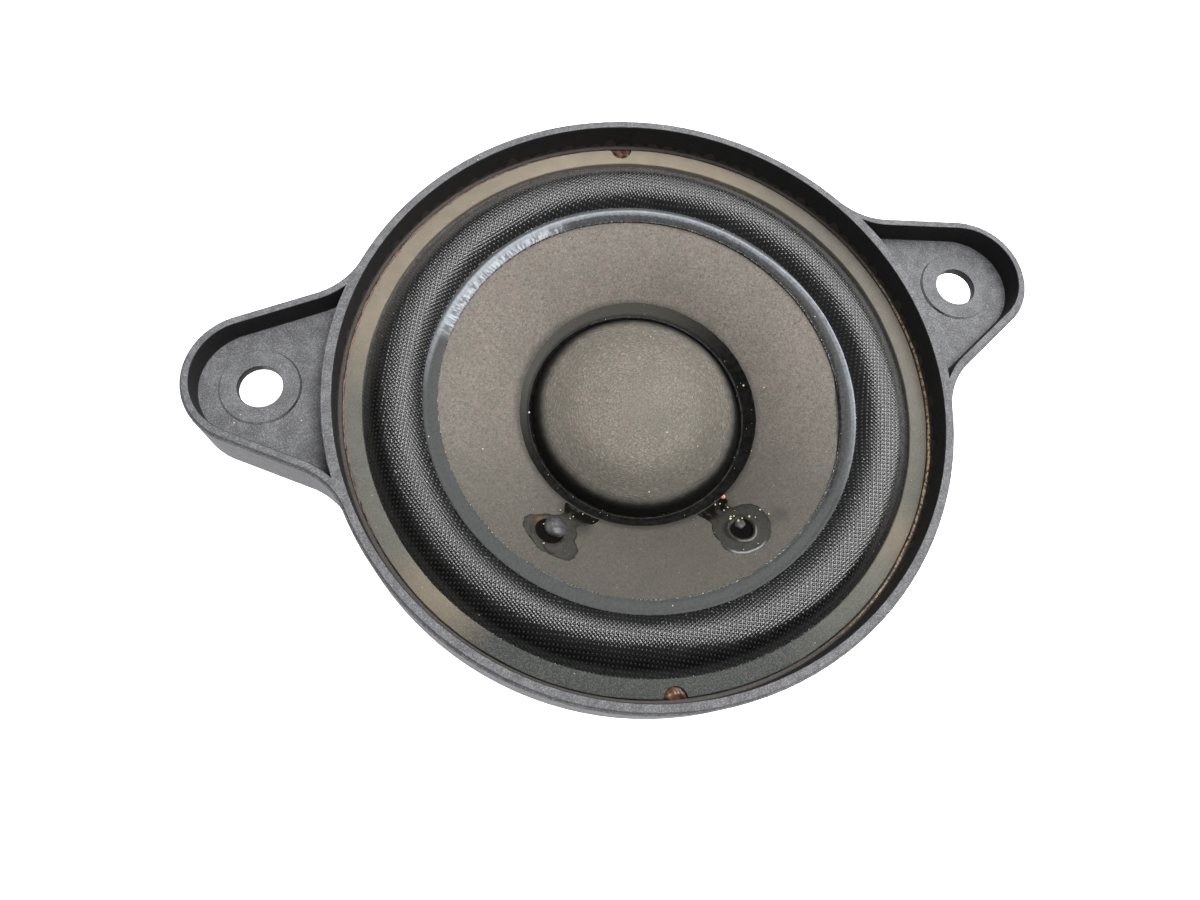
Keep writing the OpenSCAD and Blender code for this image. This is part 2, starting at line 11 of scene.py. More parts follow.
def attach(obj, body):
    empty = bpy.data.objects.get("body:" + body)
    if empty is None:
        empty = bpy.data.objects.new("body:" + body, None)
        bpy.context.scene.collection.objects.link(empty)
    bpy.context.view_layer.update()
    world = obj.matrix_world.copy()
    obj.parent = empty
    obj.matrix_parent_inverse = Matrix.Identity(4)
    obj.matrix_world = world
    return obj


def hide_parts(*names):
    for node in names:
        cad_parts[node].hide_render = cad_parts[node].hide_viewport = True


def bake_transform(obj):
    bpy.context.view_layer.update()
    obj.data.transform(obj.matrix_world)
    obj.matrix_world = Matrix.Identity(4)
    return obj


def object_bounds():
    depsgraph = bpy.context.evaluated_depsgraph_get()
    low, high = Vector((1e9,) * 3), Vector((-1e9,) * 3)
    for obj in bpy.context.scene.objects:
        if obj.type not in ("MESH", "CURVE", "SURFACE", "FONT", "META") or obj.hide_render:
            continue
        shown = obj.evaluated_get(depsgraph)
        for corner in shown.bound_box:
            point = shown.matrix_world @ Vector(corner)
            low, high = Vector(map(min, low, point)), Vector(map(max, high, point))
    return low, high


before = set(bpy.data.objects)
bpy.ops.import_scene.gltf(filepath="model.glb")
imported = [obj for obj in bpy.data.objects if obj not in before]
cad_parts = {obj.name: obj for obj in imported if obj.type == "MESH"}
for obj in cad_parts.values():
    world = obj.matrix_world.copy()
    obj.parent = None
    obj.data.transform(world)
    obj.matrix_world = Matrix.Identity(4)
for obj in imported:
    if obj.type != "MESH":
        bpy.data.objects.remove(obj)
cad_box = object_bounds()
scene = bpy.context.scene
MM = 0.001  # the shapes below are drawn in millimetres

# ---------------------------------------------------------------- driving sizes, as in the CAD model
LANDING_Z = 3.5
CLOTH_T = 0.4
ROLL_IN_R, ROLL_OUT_R, ROLL_RISE = 35.8, 44.75, 2.75
INNER_FLANK, OUTER_FLANK = 2.6, 1.7  # powers: the larger, the flatter the crest and the steeper the foot
# The crest is drawn nearer or farther out round the circle: (azimuth in degrees, radius of its crest).
CREST = [(0, 41.4), (25, 41.0), (85, 41.0), (130, 41.1), (155, 41.7), (185, 41.7), (215, 41.2), (238, 40.4),
    (262, 39.9), (275, 41.2), (300, 42.3), (340, 42.2), (360, 41.4)]
BOND_IN_R, CLOTH_OUT_R = 33.26, 47.9
GASKET_IN_R, GASKET_OUT_R, GASKET_T = 45.05, 48.0, 1.0
NOTCH_R, NOTCH_ANGLES = 1.8, (82.2, 263.0)
RIM_IN_R = 48.7
CONE_ARC_R, CONE_T = 28.0, 0.5
CONE_EDGE = (35.6, 4.28)
CAP_SEAT = (18.0, -4.4)
FORMER_R = 12.85
CAP_R, CAP_DOME_R, CAP_T = 18.0, 43.9, 0.4
SHOULDER_R, FOOT_SLOPE, FOOT_H = 1.5, math.radians(67), 2.0
LEAD_R = 26.0
LEAD_ANGLES = {"left": 224.8, "right": 297.0}
LEAD_D, DROP_H = 1.0, 0.9
LEAD_END = (6.5, -34.2, -12.0)
SPIDER_Z, SPIDER_T, SPIDER_RISE = -16.1, 0.3, 0.6
SPIDER_IN_R, SHELF_IN_R, SPIDER_OUT_R, SPIDER_WAVES = FORMER_R + 1.2, 24.6, 27.8, 5


def arc_centre(a, b, r):
    """Centre of the arc of radius r through a and b, on the lower right of the chord."""
    a, b = Vector(a), Vector(b)
    chord = a - b
    drop = math.sqrt(r * r - chord.length_squared / 4)
    return (a + b) / 2 + Vector((chord.y, -chord.x)) * drop / chord.length


CONE_C = arc_centre(CONE_EDGE, CAP_SEAT, CONE_ARC_R)


def cone_height(r, lift=0.0):
    """Height of the surface that runs lift above the middle of the cone's paper."""
    return CONE_C.y + np.sqrt((CONE_ARC_R + lift) ** 2 - (CONE_C.x - r) ** 2)


def cone_slope(r):
    return math.asin((CONE_C.x - r) / CONE_ARC_R)


# ---------------------------------------------------------------- camera, light and floor
EYE = Vector((-32.5, -50.62, 140.06)) * MM
PITCH, ROLL, SPIN = -0.3306, 0.1052, math.radians(11.8)
LENS = 27.05


def make_camera():
    data = bpy.data.cameras.new("camera")
    data.sensor_width = 36
    data.lens = LENS
    data.clip_start, data.clip_end = 0.01, 20
    camera = bpy.data.objects.new("camera", data)
    scene.collection.objects.link(camera)
    tilt = Matrix.Rotation(PITCH, 3, "X") @ Matrix.Rotation(ROLL, 3, "Y")
    turn = Matrix.Rotation(-SPIN, 3, "Z") @ tilt.transposed()
    camera.matrix_world = Matrix.Translation(EYE) @ turn.to_4x4()
    scene.camera = camera


def add_light(name, tilt, turn, distance, width, depth, power, glare=True):
    """A soft light that looks at the origin from that far away. width runs level, depth up and down."""
    tilt, turn = math.radians(tilt), math.radians(turn)
    way = Vector((math.sin(tilt) * math.cos(turn), math.sin(tilt) * math.sin(turn), math.cos(tilt)))
    data = bpy.data.lights.new(name, "AREA")
    data.shape, data.size, data.size_y, data.energy = "RECTANGLE", width, depth, power
    light = bpy.data.objects.new(name, data)
    scene.collection.objects.link(light)
    light.location = way * distance
    light.visible_glossy = glare
    light.rotation_mode = "QUATERNION"
    light.rotation_quaternion = way.to_track_quat("Z", "Y")


def make_studio():
    scene.view_settings.view_transform = "Standard"
    world = bpy.data.worlds.new("studio")
    world.use_nodes = True
    world.node_tree.nodes["Background"].inputs["Color"].default_value = (1, 1, 1, 1)
    world.node_tree.nodes["Background"].inputs["Strength"].default_value = 0.26
    scene.world = world
    add_light("top_light", 18, 15, 0.5, 0.24, 0.24, 2.9)
    add_light("window_light", 46, 42, 0.5, 0.75, 0.2, 2.5)
    add_light("fill_light", 30, 225, 0.5, 0.3, 0.3, 0.7, glare=False)
    bpy.ops.mesh.primitive_plane_add(size=6, location=(0, 0, cad_box[0].z))
    floor = bpy.context.object
    floor.name = "floor"
    floor.data.materials.append(floor_paper())


# ---------------------------------------------------------------- material building
def srgb(red, green, blue):
    """A screen colour of 0 to 255 as the linear colour that shaders use."""
    linear = [((c / 255 + 0.055) / 1.055) ** 2.4 if c > 10 else c / 255 / 12.92 for c in (red, green, blue)]
    return (*linear, 1)


class Paint:
    """A material whose node tree is written as expressions. Sizes are in millimetres."""

    def __init__(self, name, **values):
        self.material = bpy.data.materials.new(name)
        self.material.use_nodes = True
        self.tree = self.material.node_tree
        self.shader = self.tree.nodes["Principled BSDF"]
        self.set(**values)

    def put(self, socket, value):
        if isinstance(value, bpy.types.NodeSocket):
            self.tree.links.new(value, socket)
        else:
            socket.default_value = value

    def set(self, **values):
        """Sets the shader's inputs, named with underscores for spaces."""
        for key, value in values.items():
            self.put(self.shader.inputs[key.replace("_", " ").title().replace("Ior", "IOR")], value)

    def node(self, kind, inputs, out=0, **settings):
        made = self.tree.nodes.new("ShaderNode" + kind)
        for key, value in settings.items():
            setattr(made, key, value)
        for key, value in inputs.items():
            self.put(made.inputs[key], value)
        return made.outputs[out]

    def place(self):
        return self.node("TexCoord", {}, out="Object")

    def axes(self, vector=None):
        """X, Y and Z of a vector, in millimetres if none is given."""
        source = vector or self.node("VectorMath", {0: self.place(), "Scale": 1 / MM}, operation="SCALE")
        split = self.tree.nodes.new("ShaderNodeSeparateXYZ")
        self.put(split.inputs[0], source)
        return split.outputs["X"], split.outputs["Y"], split.outputs["Z"]

    def math(self, operation, a, b=0.0, c=0.0):
        return self.node("Math", {0: a, 1: b, 2: c}, operation=operation)

    def noise(self, size, detail=2.0, roughness=0.5, warp=0.0, vector=None):
        return self.node("TexNoise", {"Vector": vector or self.place(), "Scale": 1 / (size * MM),
            "Detail": detail, "Roughness": roughness, "Distortion": warp})

    def spots(self, size, vector=None):
        """Distance to the nearest of scattered points, and a random value for each."""
        made = self.tree.nodes.new("ShaderNodeTexVoronoi")
        self.put(made.inputs["Vector"], vector or self.place())
        made.inputs["Scale"].default_value = 1 / (size * MM)
        return made.outputs["Distance"], self.axes(made.outputs["Color"])[0]

    def ramp(self, value, low, high, to_low=0.0, to_high=1.0):
        return self.node("MapRange", {"Value": value, "From Min": low, "From Max": high,
            "To Min": to_low, "To Max": to_high}, interpolation_type="SMOOTHSTEP")

    def mix(self, share, a, b, blend="MIX"):
        made = self.tree.nodes.new("ShaderNodeMix")
        made.data_type, made.blend_type = "RGBA", blend
        self.put(made.inputs[0], share)
        self.put(made.inputs[6], a)
        self.put(made.inputs[7], b)
        return made.outputs[2]

    def attribute(self, name, out="Fac"):
        return self.node("Attribute", {}, out=out, attribute_name=name)

    def bump(self, height, depth, normal=None, strength=1.0):
        inputs = {"Height": height, "Distance": depth * MM, "Strength": strength}
        if normal:
            inputs["Normal"] = normal
        return self.node("Bump", inputs)

    def specks(self, size, share, radius=0.25):
        """1 on a few small dots of dust, 0 elsewhere."""
        distance, chance = self.spots(size)
        near = self.ramp(distance, radius, radius * 0.5)
        return self.math("MULTIPLY", near, self.math("LESS_THAN", chance, share))


def floor_paper():
    p = Paint("floor_paper", base_color=(0.92, 0.92, 0.92, 1), roughness=0.9,
        emission_color=(1, 1, 1, 1), emission_strength=1.25)
    return p.material


def moulded_plastic():
    """Black filled plastic, greyed and scuffed outside and on the flats; the walls that face the axis get
    painted shade.
    """
    p = Paint("moulded_plastic", specular_ior_level=0.2)
    mottle = p.noise(2.6, detail=4, roughness=0.6)
    grain = p.noise(0.24, detail=4, roughness=0.75)
    flow = p.noise(0.9, detail=3, roughness=0.6, warp=2.8)
    normal = p.node("NewGeometry", {}, out="Normal")
    flat = p.ramp(p.axes(normal)[2], 0.8, 0.95)
    outward = p.node("VectorMath", {0: p.place(), 1: normal}, out="Value", operation="DOT_PRODUCT")
    inner = p.ramp(outward, 0.0, -8 * MM)
    curls = p.math("MULTIPLY", p.ramp(p.math("ABSOLUTE", p.math("SUBTRACT", flow, 0.5)), 0.03, 0.0), flat)
    base = p.mix(p.ramp(mottle, 0.35, 0.65), srgb(82, 82, 84), srgb(92, 92, 94))
    base = p.mix(p.ramp(grain, 0.5, 0.64, 0.0, 0.6), base, srgb(136, 137, 140))
    base = p.mix(p.math("MULTIPLY", curls, p.ramp(mottle, 0.4, 0.6, 0.1, 0.5)), base, srgb(160, 161, 164))
    base = p.mix(p.ramp(grain, 0.42, 0.33, 0.0, 0.85), base, srgb(46, 46, 48))
    base = p.mix(p.specks(1.1, 0.05, 0.12), base, srgb(200, 196, 178))
    # painted shade: walls that face the axis are darkened
    base = p.mix(inner, base, srgb(34, 34, 35))
    x, y, z = p.axes()
    radius = p.math("SQRT", p.math("ADD", p.math("MULTIPLY", x, x), p.math("MULTIPLY", y, y)))
    ledge = p.math("MULTIPLY", p.math("LESS_THAN", radius, RIM_IN_R),
        p.math("GREATER_THAN", z, LANDING_Z - 0.1))
    base = p.mix(p.math("MULTIPLY", ledge, 0.8), base, srgb(60, 55, 50))
    p.set(base_color=base, roughness=p.ramp(mottle, 0.3, 0.7, 0.62, 0.74))
    fine = p.bump(grain, 0.06)
    p.set(normal=p.bump(p.math("ADD", flow, p.math("MULTIPLY", mottle, 0.6)), 0.05, fine))
    return p.material


def woven(p, spacing, turn):
    """Height of a weave: raised knots that far apart, in rows turned that many degrees from X."""
    place = p.node("VectorRotate", {"Vector": p.place(), "Angle": math.radians(-turn)},
        rotation_type="Z_AXIS")
    x, y, _ = p.axes(p.node("VectorMath", {0: place, "Scale": 2 * math.pi / (spacing * MM)},
        operation="SCALE"))
    knots = p.math("MULTIPLY", p.math("ADD", p.math("COSINE", x), p.math("COSINE", y)), 0.5)
    return p.math("MAXIMUM", knots, p.math("MULTIPLY", knots, -0.5))


def coated_cloth():
    """Black woven cloth with a glossy damping coat, greyed by dust and painted sheen beside the gasket and on
    the outer flank.
    """
    p = Paint("coated_cloth", specular_ior_level=0.62)
    weave = woven(p, 0.65, -18)
    worn = p.noise(3.0, detail=3, roughness=0.6)
    base = p.mix(p.ramp(worn, 0.4, 0.7), srgb(7, 7, 8), srgb(13, 13, 14))
    base = p.mix(p.ramp(weave, 0.5, 0.95, 0.0, 0.2), base, srgb(104, 105, 109))
    # dust and painted sheen: greyed beside the gasket and on the outer flank
    dull = p.math("MULTIPLY", p.attribute("valley_sheen_and_dust"),
        p.ramp(p.noise(0.8, detail=4, warp=1.0), 0.3, 0.6, 0.5, 1.0))
    base = p.mix(dull, base, srgb(92, 92, 92))
    dust = p.math("MAXIMUM", p.specks(0.8, 0.05, 0.15), p.specks(0.5, p.attribute("dust"), 0.2))
    base = p.mix(dust, base, srgb(176, 168, 140))
    p.set(base_color=base, roughness=p.ramp(worn, 0.3, 0.7, 0.22, 0.3))
    threads = p.bump(weave, 0.075)
    p.set(normal=p.bump(p.noise(0.35, detail=2), 0.012, threads))
    return p.material


def gasket_paper():
    """Grey card, coloured by its lit tone round the ring, which holds painted reflection."""
    p = Paint("gasket_paper", roughness=0.75, specular_ior_level=0.3)
    lit_tone = p.attribute("lit_tone", out="Color")
    cloud = p.noise(3.0, detail=5, roughness=0.65)
    grain = p.noise(0.22, detail=3, roughness=0.7)
    base = p.mix(0.5, lit_tone, p.mix(cloud, (0.25, 0.25, 0.25, 1), (0.75, 0.75, 0.75, 1)), blend="OVERLAY")
    base = p.mix(p.ramp(grain, 0.4, 0.75, 0.0, 0.3), base, srgb(140, 136, 124))
    base = p.mix(p.specks(0.9, 0.05, 0.12), base, srgb(190, 186, 164))
    p.set(base_color=base)
    p.set(normal=p.bump(grain, 0.03, p.bump(cloud, 0.1)))
    return p.material


def felted_paper(name, light, dark, fibre, swirl=0.0):
    """Pressed paper pulp with short fibres; swirl lays them round the axis."""
    p = Paint(name, specular_ior_level=0.25)
    cloud = p.noise(7.0, detail=4, roughness=0.6)
    felt = p.noise(fibre, detail=3, roughness=0.65, warp=1.2)
    fuzz = p.noise(fibre * 0.45, detail=2, roughness=0.6, warp=3.0)
    hue = p.noise(1.3, detail=3)
    base = p.mix(p.ramp(felt, 0.32, 0.68), dark, light)
    if swirl:
        lay = p.noise(fibre * 0.6, detail=3, roughness=0.7, warp=0.8, vector=polar_place(p, 3.2, 1.5))
        base = p.mix(p.ramp(lay, 0.34, 0.5, swirl, 0.0), base, srgb(62, 58, 52))
        base = p.mix(p.ramp(lay, 0.52, 0.66, 0.0, swirl * 1.3), base, srgb(172, 165, 151))
    base = p.mix(p.ramp(hue, 0.42, 0.62, 0.0, 0.3), base, srgb(112, 96, 92))
    base = p.mix(p.ramp(cloud, 0.4, 0.7, 0.0, 0.3), base, srgb(84, 85, 76))
    base = p.mix(p.ramp(fuzz, 0.6, 0.74, 0.0, 0.5), base, srgb(170, 162, 148))
    # darker on one side of the cone and towards the cap's edge
    base = p.mix(p.attribute("darkening"), base, srgb(56, 55, 49))
    # black where glue stains the paper and covers the cap's edge
    base = p.mix(p.attribute("stain_and_shade"), base, srgb(12, 12, 12))
    dust = p.math("MAXIMUM", p.specks(1.6, 0.05, 0.1), p.specks(0.6, p.attribute("dust"), 0.12))
    base = p.mix(p.math("MULTIPLY", dust, 0.8), base, srgb(196, 190, 156))
    p.set(base_color=base, roughness=p.ramp(p.attribute("stain_and_shade"), 0.0, 1.0, 0.78, 0.35))
    p.set(normal=p.bump(felt, 0.06, p.bump(fuzz, 0.03)))
    return p.material


def black_glue():
    """Glossy black glue with dust stuck to it."""
    p = Paint("black_glue", specular_ior_level=0.1)
    ripple = p.noise(0.9, detail=3, roughness=0.55)
    pock = p.noise(0.22, detail=2)
    base = p.mix(p.ramp(ripple, 0.35, 0.7), srgb(9, 9, 9), srgb(22, 21, 20))
    # greyer over the outer part of the ring from about 45 to 172 degrees
    base = p.mix(p.attribute("greyed_arc"), base, srgb(66, 64, 59))
    base = p.mix(p.specks(0.55, 0.14, 0.14), base, srgb(186, 178, 132))
    base = p.mix(p.specks(1.4, 0.06, 0.14), base, srgb(200, 196, 186))
    p.set(base_color=base, roughness=p.ramp(pock, 0.35, 0.65, 0.3, 0.5))
    p.set(normal=p.bump(pock, 0.04, p.bump(ripple, 0.1)))
    return p.material


def film_glue():
    """A skin of brown glue soaked into the paper, darker where it is thick, and black in the leads' pits as
    painted shade.
    """
    p = Paint("film_glue")
    felt = p.noise(0.4, detail=3, roughness=0.65, warp=1.0)
    blot = p.noise(1.6, detail=4, roughness=0.65, warp=1.5)
    base = p.mix(p.ramp(felt, 0.3, 0.7), srgb(36, 36, 32), srgb(50, 49, 44))
    base = p.mix(p.ramp(blot, 0.5, 0.64, 0.0, 0.6), base, srgb(34, 28, 24))
    base = p.mix(p.attribute("rust"), base, srgb(84, 56, 32))
    base = p.mix(p.attribute("glint"), base, srgb(150, 150, 150))
    # black glue stains, and painted shade in the leads' pits
    base = p.mix(p.attribute("stain_and_shade"), base, srgb(9, 8, 7))
    base = p.mix(p.specks(0.5, 0.06, 0.16), base, srgb(190, 184, 140))
    p.set(base_color=base, roughness=p.ramp(felt, 0.3, 0.7, 0.5, 0.7),
        specular_ior_level=p.ramp(p.attribute("stain_and_shade"), 0.3, 0.9, 0.2, 0.03))
    p.set(normal=p.bump(blot, 0.06, p.bump(felt, 0.04)))
    return p.material


def polar_place(p, angle_scale, radius_scale):
    """A place for noise that stretches round the axis."""
    x, y, _ = p.axes()
    angle = p.math("ARCTAN2", y, x)
    radius = p.math("SQRT", p.math("ADD", p.math("MULTIPLY", x, x), p.math("MULTIPLY", y, y)))
    return p.node("CombineXYZ", {"X": p.math("MULTIPLY", angle, angle_scale * MM),
        "Y": p.math("MULTIPLY", radius, radius_scale * MM)})


def bond_glue():
    """Clear grey glue over the cloth's inner edge, streaked where the brush ended."""
    p = Paint("bond_glue", specular_ior_level=0.25)
    streak = p.noise(0.25, detail=3, roughness=0.6, vector=polar_place(p, 20.0, 0.15))
    mottle = p.noise(0.5, detail=3, roughness=0.6)
    base = p.mix(p.ramp(mottle, 0.35, 0.65), srgb(44, 45, 45), srgb(58, 59, 59))
    white = p.math("MULTIPLY", p.attribute("milk"), p.ramp(streak, 0.4, 0.6, 0.25, 1.0))
    base = p.mix(white, base, srgb(156, 160, 165))
    shine = p.math("MULTIPLY", p.attribute("shine"), p.ramp(mottle, 0.3, 0.6, 0.65, 1.0))
    base = p.mix(shine, base, srgb(140, 145, 152))
    dark = p.math("MULTIPLY", p.attribute("stain_and_shade"), p.ramp(mottle, 0.58, 0.48, 0.35, 1.0))
    base = p.mix(dark, base, srgb(24, 25, 24))
    base = p.mix(p.specks(0.8, 0.05, 0.14), base, srgb(205, 200, 175))
    p.set(base_color=base, roughness=p.ramp(mottle, 0.3, 0.7, 0.5, 0.64))
    p.set(normal=p.bump(streak, 0.05, p.bump(mottle, 0.05)))
    return p.material


def amber_glue():
    """Old solvent glue: red-brown where thick, cream where it has crazed."""
    p = Paint("amber_glue", specular_ior_level=0.4, coat_weight=0.12, coat_roughness=0.2)
    cloud = p.noise(0.8, detail=3, roughness=0.6)
    base = p.mix(p.ramp(cloud, 0.35, 0.65), srgb(52, 30, 24), srgb(104, 72, 52))
    base = p.mix(p.math("MULTIPLY", p.attribute("cream"), p.ramp(p.noise(0.5, detail=3), 0.4, 0.6)), base,
        srgb(168, 152, 122))
    p.set(base_color=base, roughness=p.ramp(cloud, 0.3, 0.7, 0.25, 0.5))
    p.set(normal=p.bump(cloud, 0.06))
    return p.material


def plated_steel():
    """Zinc plate with turning marks and dull clouds."""
    p = Paint("plated_steel", metallic=1.0)
    x, y, z = p.axes()
    radius = p.math("SQRT", p.math("ADD", p.math("MULTIPLY", x, x), p.math("MULTIPLY", y, y)))
    rings = p.node("CombineXYZ", {"X": p.math("MULTIPLY", radius, MM), "Y": p.math("MULTIPLY", z, MM)})
    turned = p.noise(0.18, detail=3, roughness=0.7, vector=rings)
    cloud = p.noise(6.0, detail=5, roughness=0.65)
    base = p.mix(p.ramp(cloud, 0.35, 0.7), srgb(176, 178, 180), srgb(150, 150, 146))
    p.set(base_color=base, roughness=p.ramp(cloud, 0.3, 0.7, 0.28, 0.46))
    p.set(normal=p.bump(turned, 0.012))
    return p.material


def ferrite():
    p = Paint("ferrite", specular_ior_level=0.5)
    pit = p.noise(0.35, detail=4, roughness=0.7)
    cloud = p.noise(5.0, detail=3)
    base = p.mix(p.ramp(cloud, 0.3, 0.7), srgb(52, 52, 55), srgb(66, 66, 69))
    base = p.mix(p.ramp(pit, 0.62, 0.7), base, srgb(112, 112, 116))
    p.set(base_color=base, roughness=p.ramp(pit, 0.35, 0.65, 0.42, 0.6))
    p.set(normal=p.bump(pit, 0.05))
    return p.material


def simple_metal(name, light, dark, roughness, metallic=1.0):
    p = Paint(name, metallic=metallic)
    cloud = p.noise(1.6, detail=4, roughness=0.65)
    scratch = p.noise(0.3, detail=3, roughness=0.7)
    p.set(base_color=p.mix(p.ramp(cloud, 0.35, 0.7), light, dark),
        roughness=p.ramp(cloud, 0.3, 0.7, roughness, roughness + 0.18))
    p.set(normal=p.bump(scratch, 0.01))
    return p.material


def layered_board():
    """Brown phenolic paper board."""
    p = Paint("layered_board", specular_ior_level=0.5)
    cloud = p.noise(1.4, detail=4, roughness=0.6)
    fibre = p.noise(0.2, detail=3, roughness=0.7)
    base = p.mix(p.ramp(cloud, 0.35, 0.65), srgb(98, 58, 32), srgb(124, 78, 44))
    p.set(base_color=base, roughness=p.ramp(fibre, 0.3, 0.7, 0.35, 0.55))
    p.set(normal=p.bump(fibre, 0.02))
    return p.material


def resin_cloth():
    """Amber cotton weave stiffened with resin."""
    p = Paint("resin_cloth", specular_ior_level=0.45)
    weave = woven(p, 0.8, 8)
    cloud = p.noise(3.0, detail=3)
    base = p.mix(p.ramp(weave, 0.25, 0.8), srgb(110, 72, 26), srgb(196, 150, 78))
    base = p.mix(p.ramp(cloud, 0.4, 0.7, 0.0, 0.4), base, srgb(150, 104, 44))
    p.set(base_color=base, roughness=0.55)
    p.set(normal=p.bump(weave, 0.09))
    return p.material


def braided_tinsel():
    """Fine copper tinsel braid: two sets of strands that cross."""
    p = Paint("braided_tinsel", metallic=0.7)
    along, around = p.attribute("along"), p.attribute("around")
    one = p.math("COSINE", p.math("MULTIPLY", p.math("ADD", along, around), math.pi * 4))
    two = p.math("COSINE", p.math("MULTIPLY", p.math("SUBTRACT", along, around), math.pi * 4))
    braid = p.math("MAXIMUM", one, two)
    base = p.mix(p.ramp(braid, -0.2, 0.9), srgb(92, 58, 34), srgb(206, 150, 104))
    p.set(base_color=base, roughness=0.38)
    p.set(normal=p.bump(braid, 0.05))
    return p.material


def wound_wire():
    """Enamelled copper wire, turn beside turn."""
    p = Paint("wound_wire", metallic=0.85, coat_weight=0.5, coat_roughness=0.1)
    _, _, z = p.axes()
    turns = p.math("ABSOLUTE", p.math("SINE", p.math("MULTIPLY", z, math.pi / 0.2)))
    base = p.mix(p.ramp(turns, 0.0, 0.8), srgb(92, 40, 20), srgb(196, 110, 62))
    p.set(base_color=base, roughness=0.3)
    p.set(normal=p.bump(turns, 0.05))
    return p.material


def amber_film():
    p = Paint("amber_film", specular_ior_level=0.6)
    cloud = p.noise(1.5, detail=3)
    p.set(base_color=p.mix(p.ramp(cloud, 0.3, 0.7), srgb(150, 92, 36), srgb(182, 122, 54)),
        roughness=p.ramp(cloud, 0.3, 0.7, 0.22, 0.36))
    return p.material


make_camera()
make_studio()

PLASTIC = moulded_plastic()
CLOTH = coated_cloth()
CARD = gasket_paper()
CONE_PAPER = felted_paper("cone_paper", srgb(124, 118, 111), srgb(86, 82, 76), 0.4)
CAP_PAPER = felted_paper("cap_paper", srgb(114, 109, 101), srgb(82, 79, 72), 0.3, swirl=0.5)
GLUE = black_glue()
FILM = film_glue()
BOND = bond_glue()
AMBER = amber_glue()
STEEL = plated_steel()
FERRITE = ferrite()
SCREW = simple_metal("black_screw", srgb(70, 70, 74), srgb(46, 46, 50), 0.35)
BRASS = simple_metal("tab_brass", srgb(222, 190, 122), srgb(188, 152, 92), 0.25)
TIN = simple_metal("tinned_metal", srgb(206, 206, 202), srgb(172, 172, 168), 0.25)
SOLDER = simple_metal("solder", srgb(190, 190, 188), srgb(150, 150, 150), 0.2)
BOARD = layered_board()
RESIN_CLOTH = resin_cloth()
TINSEL = braided_tinsel()
WIRE = wound_wire()
COIL_FILM = amber_film()
# greyed for dust and as painted sheen over the lead lumps
LUMP = simple_metal("dust_and_sheen_glue", srgb(74, 74, 77), srgb(40, 40, 42), 0.38, metallic=0.0)
CRUMB = simple_metal("pale_crumb", srgb(206, 200, 168), srgb(160, 150, 104), 0.5, metallic=0.0)
RUST_CRUMB = simple_metal("rust_crumb", srgb(186, 132, 100), srgb(140, 92, 66), 0.5, metallic=0.0)
COLLAR = felted_paper("collar_paper", srgb(176, 150, 112), srgb(140, 116, 84), 0.3)


# ---------------------------------------------------------------- mesh building
def add_piece(name, points, faces, material, smooth_below=40):
    """A new object from points in millimetres."""
    mesh = bpy.data.meshes.new(name)
    mesh.from_pydata((np.asarray(points) * MM).tolist(), [], faces)
    mesh.validate()
    piece = bpy.data.objects.new(name, mesh)
    scene.collection.objects.link(piece)
    mesh.materials.append(material)
    mesh.shade_smooth()
    mesh.set_sharp_from_angle(angle=math.radians(smooth_below))
    return piece


def add_mask(piece, name, values):
    """A number at each point, which the material reads by name."""
    mask = piece.data.attributes.new(name, "FLOAT", "POINT")
    mask.data.foreach_set("value", np.asarray(values, np.float32))


def add_tone(piece, name, colours):
    lit_tone = piece.data.attributes.new(name, "FLOAT_COLOR", "POINT")
    lit_tone.data.foreach_set("color", np.asarray(colours, np.float32).ravel())


def circle_angles(steps):
    return np.arange(steps) * 2 * math.pi / steps


def ring_faces(rows, columns, closed=True):
    """Quads over a grid of points that goes round in rows, and in columns too if it is closed."""
    faces = []
    last = columns if closed else columns - 1
    for i in range(rows):
        here, there = i * columns, ((i + 1) % rows) * columns
        for j in range(last):
            k = (j + 1) % columns
            faces.append((here + j, there + j, there + k, here + k))
    return faces


def lathe(name, radius, height, material, closed=True):
    """A solid turned round the axis. radius and height are arrays of (angle step, profile point)."""
    steps, columns = radius.shape
    angle = circle_angles(steps)[:, None]
    points = np.stack([radius * np.cos(angle), radius * np.sin(angle), height], -1).reshape(-1, 3)
    return add_piece(name, points, ring_faces(steps, columns, closed), material)


def turned(name, profile, steps, material):
    """A plain solid of revolution from one closed profile."""
    profile = np.asarray(profile, float)
    shape = (steps, len(profile))
    return lathe(name, np.broadcast_to(profile[:, 0], shape), np.broadcast_to(profile[:, 1], shape), material)


def close_axis(piece):
    """Joins the points that a lathe left on the axis."""
    bm = bmesh.new()
    bm.from_mesh(piece.data)
    bmesh.ops.remove_doubles(bm, verts=bm.verts, dist=1e-7)
    bmesh.ops.dissolve_degenerate(bm, edges=bm.edges, dist=1e-8)
    bm.to_mesh(piece.data)
    bm.free()


def ripple(angle, seed, waves, size):
    """An irregular wavy number round the circle: a sum of whole waves with seeded phases."""
    rng = np.random.default_rng(seed)
    total = np.zeros_like(angle)
    for n in waves:
        total += np.sin(n * angle + rng.uniform(0, 2 * math.pi)) * rng.uniform(0.4, 1.0)
    return size * total / math.sqrt(len(waves))


def window(angle, start, end, soft=3.0):
    """1 between two azimuths in degrees, going anticlockwise, with soft ends."""
    middle, half = math.radians((start + end) / 2), (end - start) / 2
    off = np.degrees(np.abs((angle - middle + math.pi) % (2 * math.pi) - math.pi))
    return np.clip((half - off) / soft + 0.5, 0, 1)


def darkening(angle):
    """How far into the side from about 195 to 335 degrees an azimuth lies, 0 to 1; that side is made darker.
    """
    return smoothstep(window(angle, 195, 335, 80))


def smoothstep(t):
    t = np.clip(t, 0, 1)
    return t * t * (3 - 2 * t)


def grain(points, size, seed):
    """Fractal noise of about -1 to 1 at each point."""
    shift = Vector((seed * 7.3, seed * 3.1, seed * 1.7))
    return np.array([noise.fractal(Vector(p) / size + shift, 1.0, 2.0, 3) for p in points])


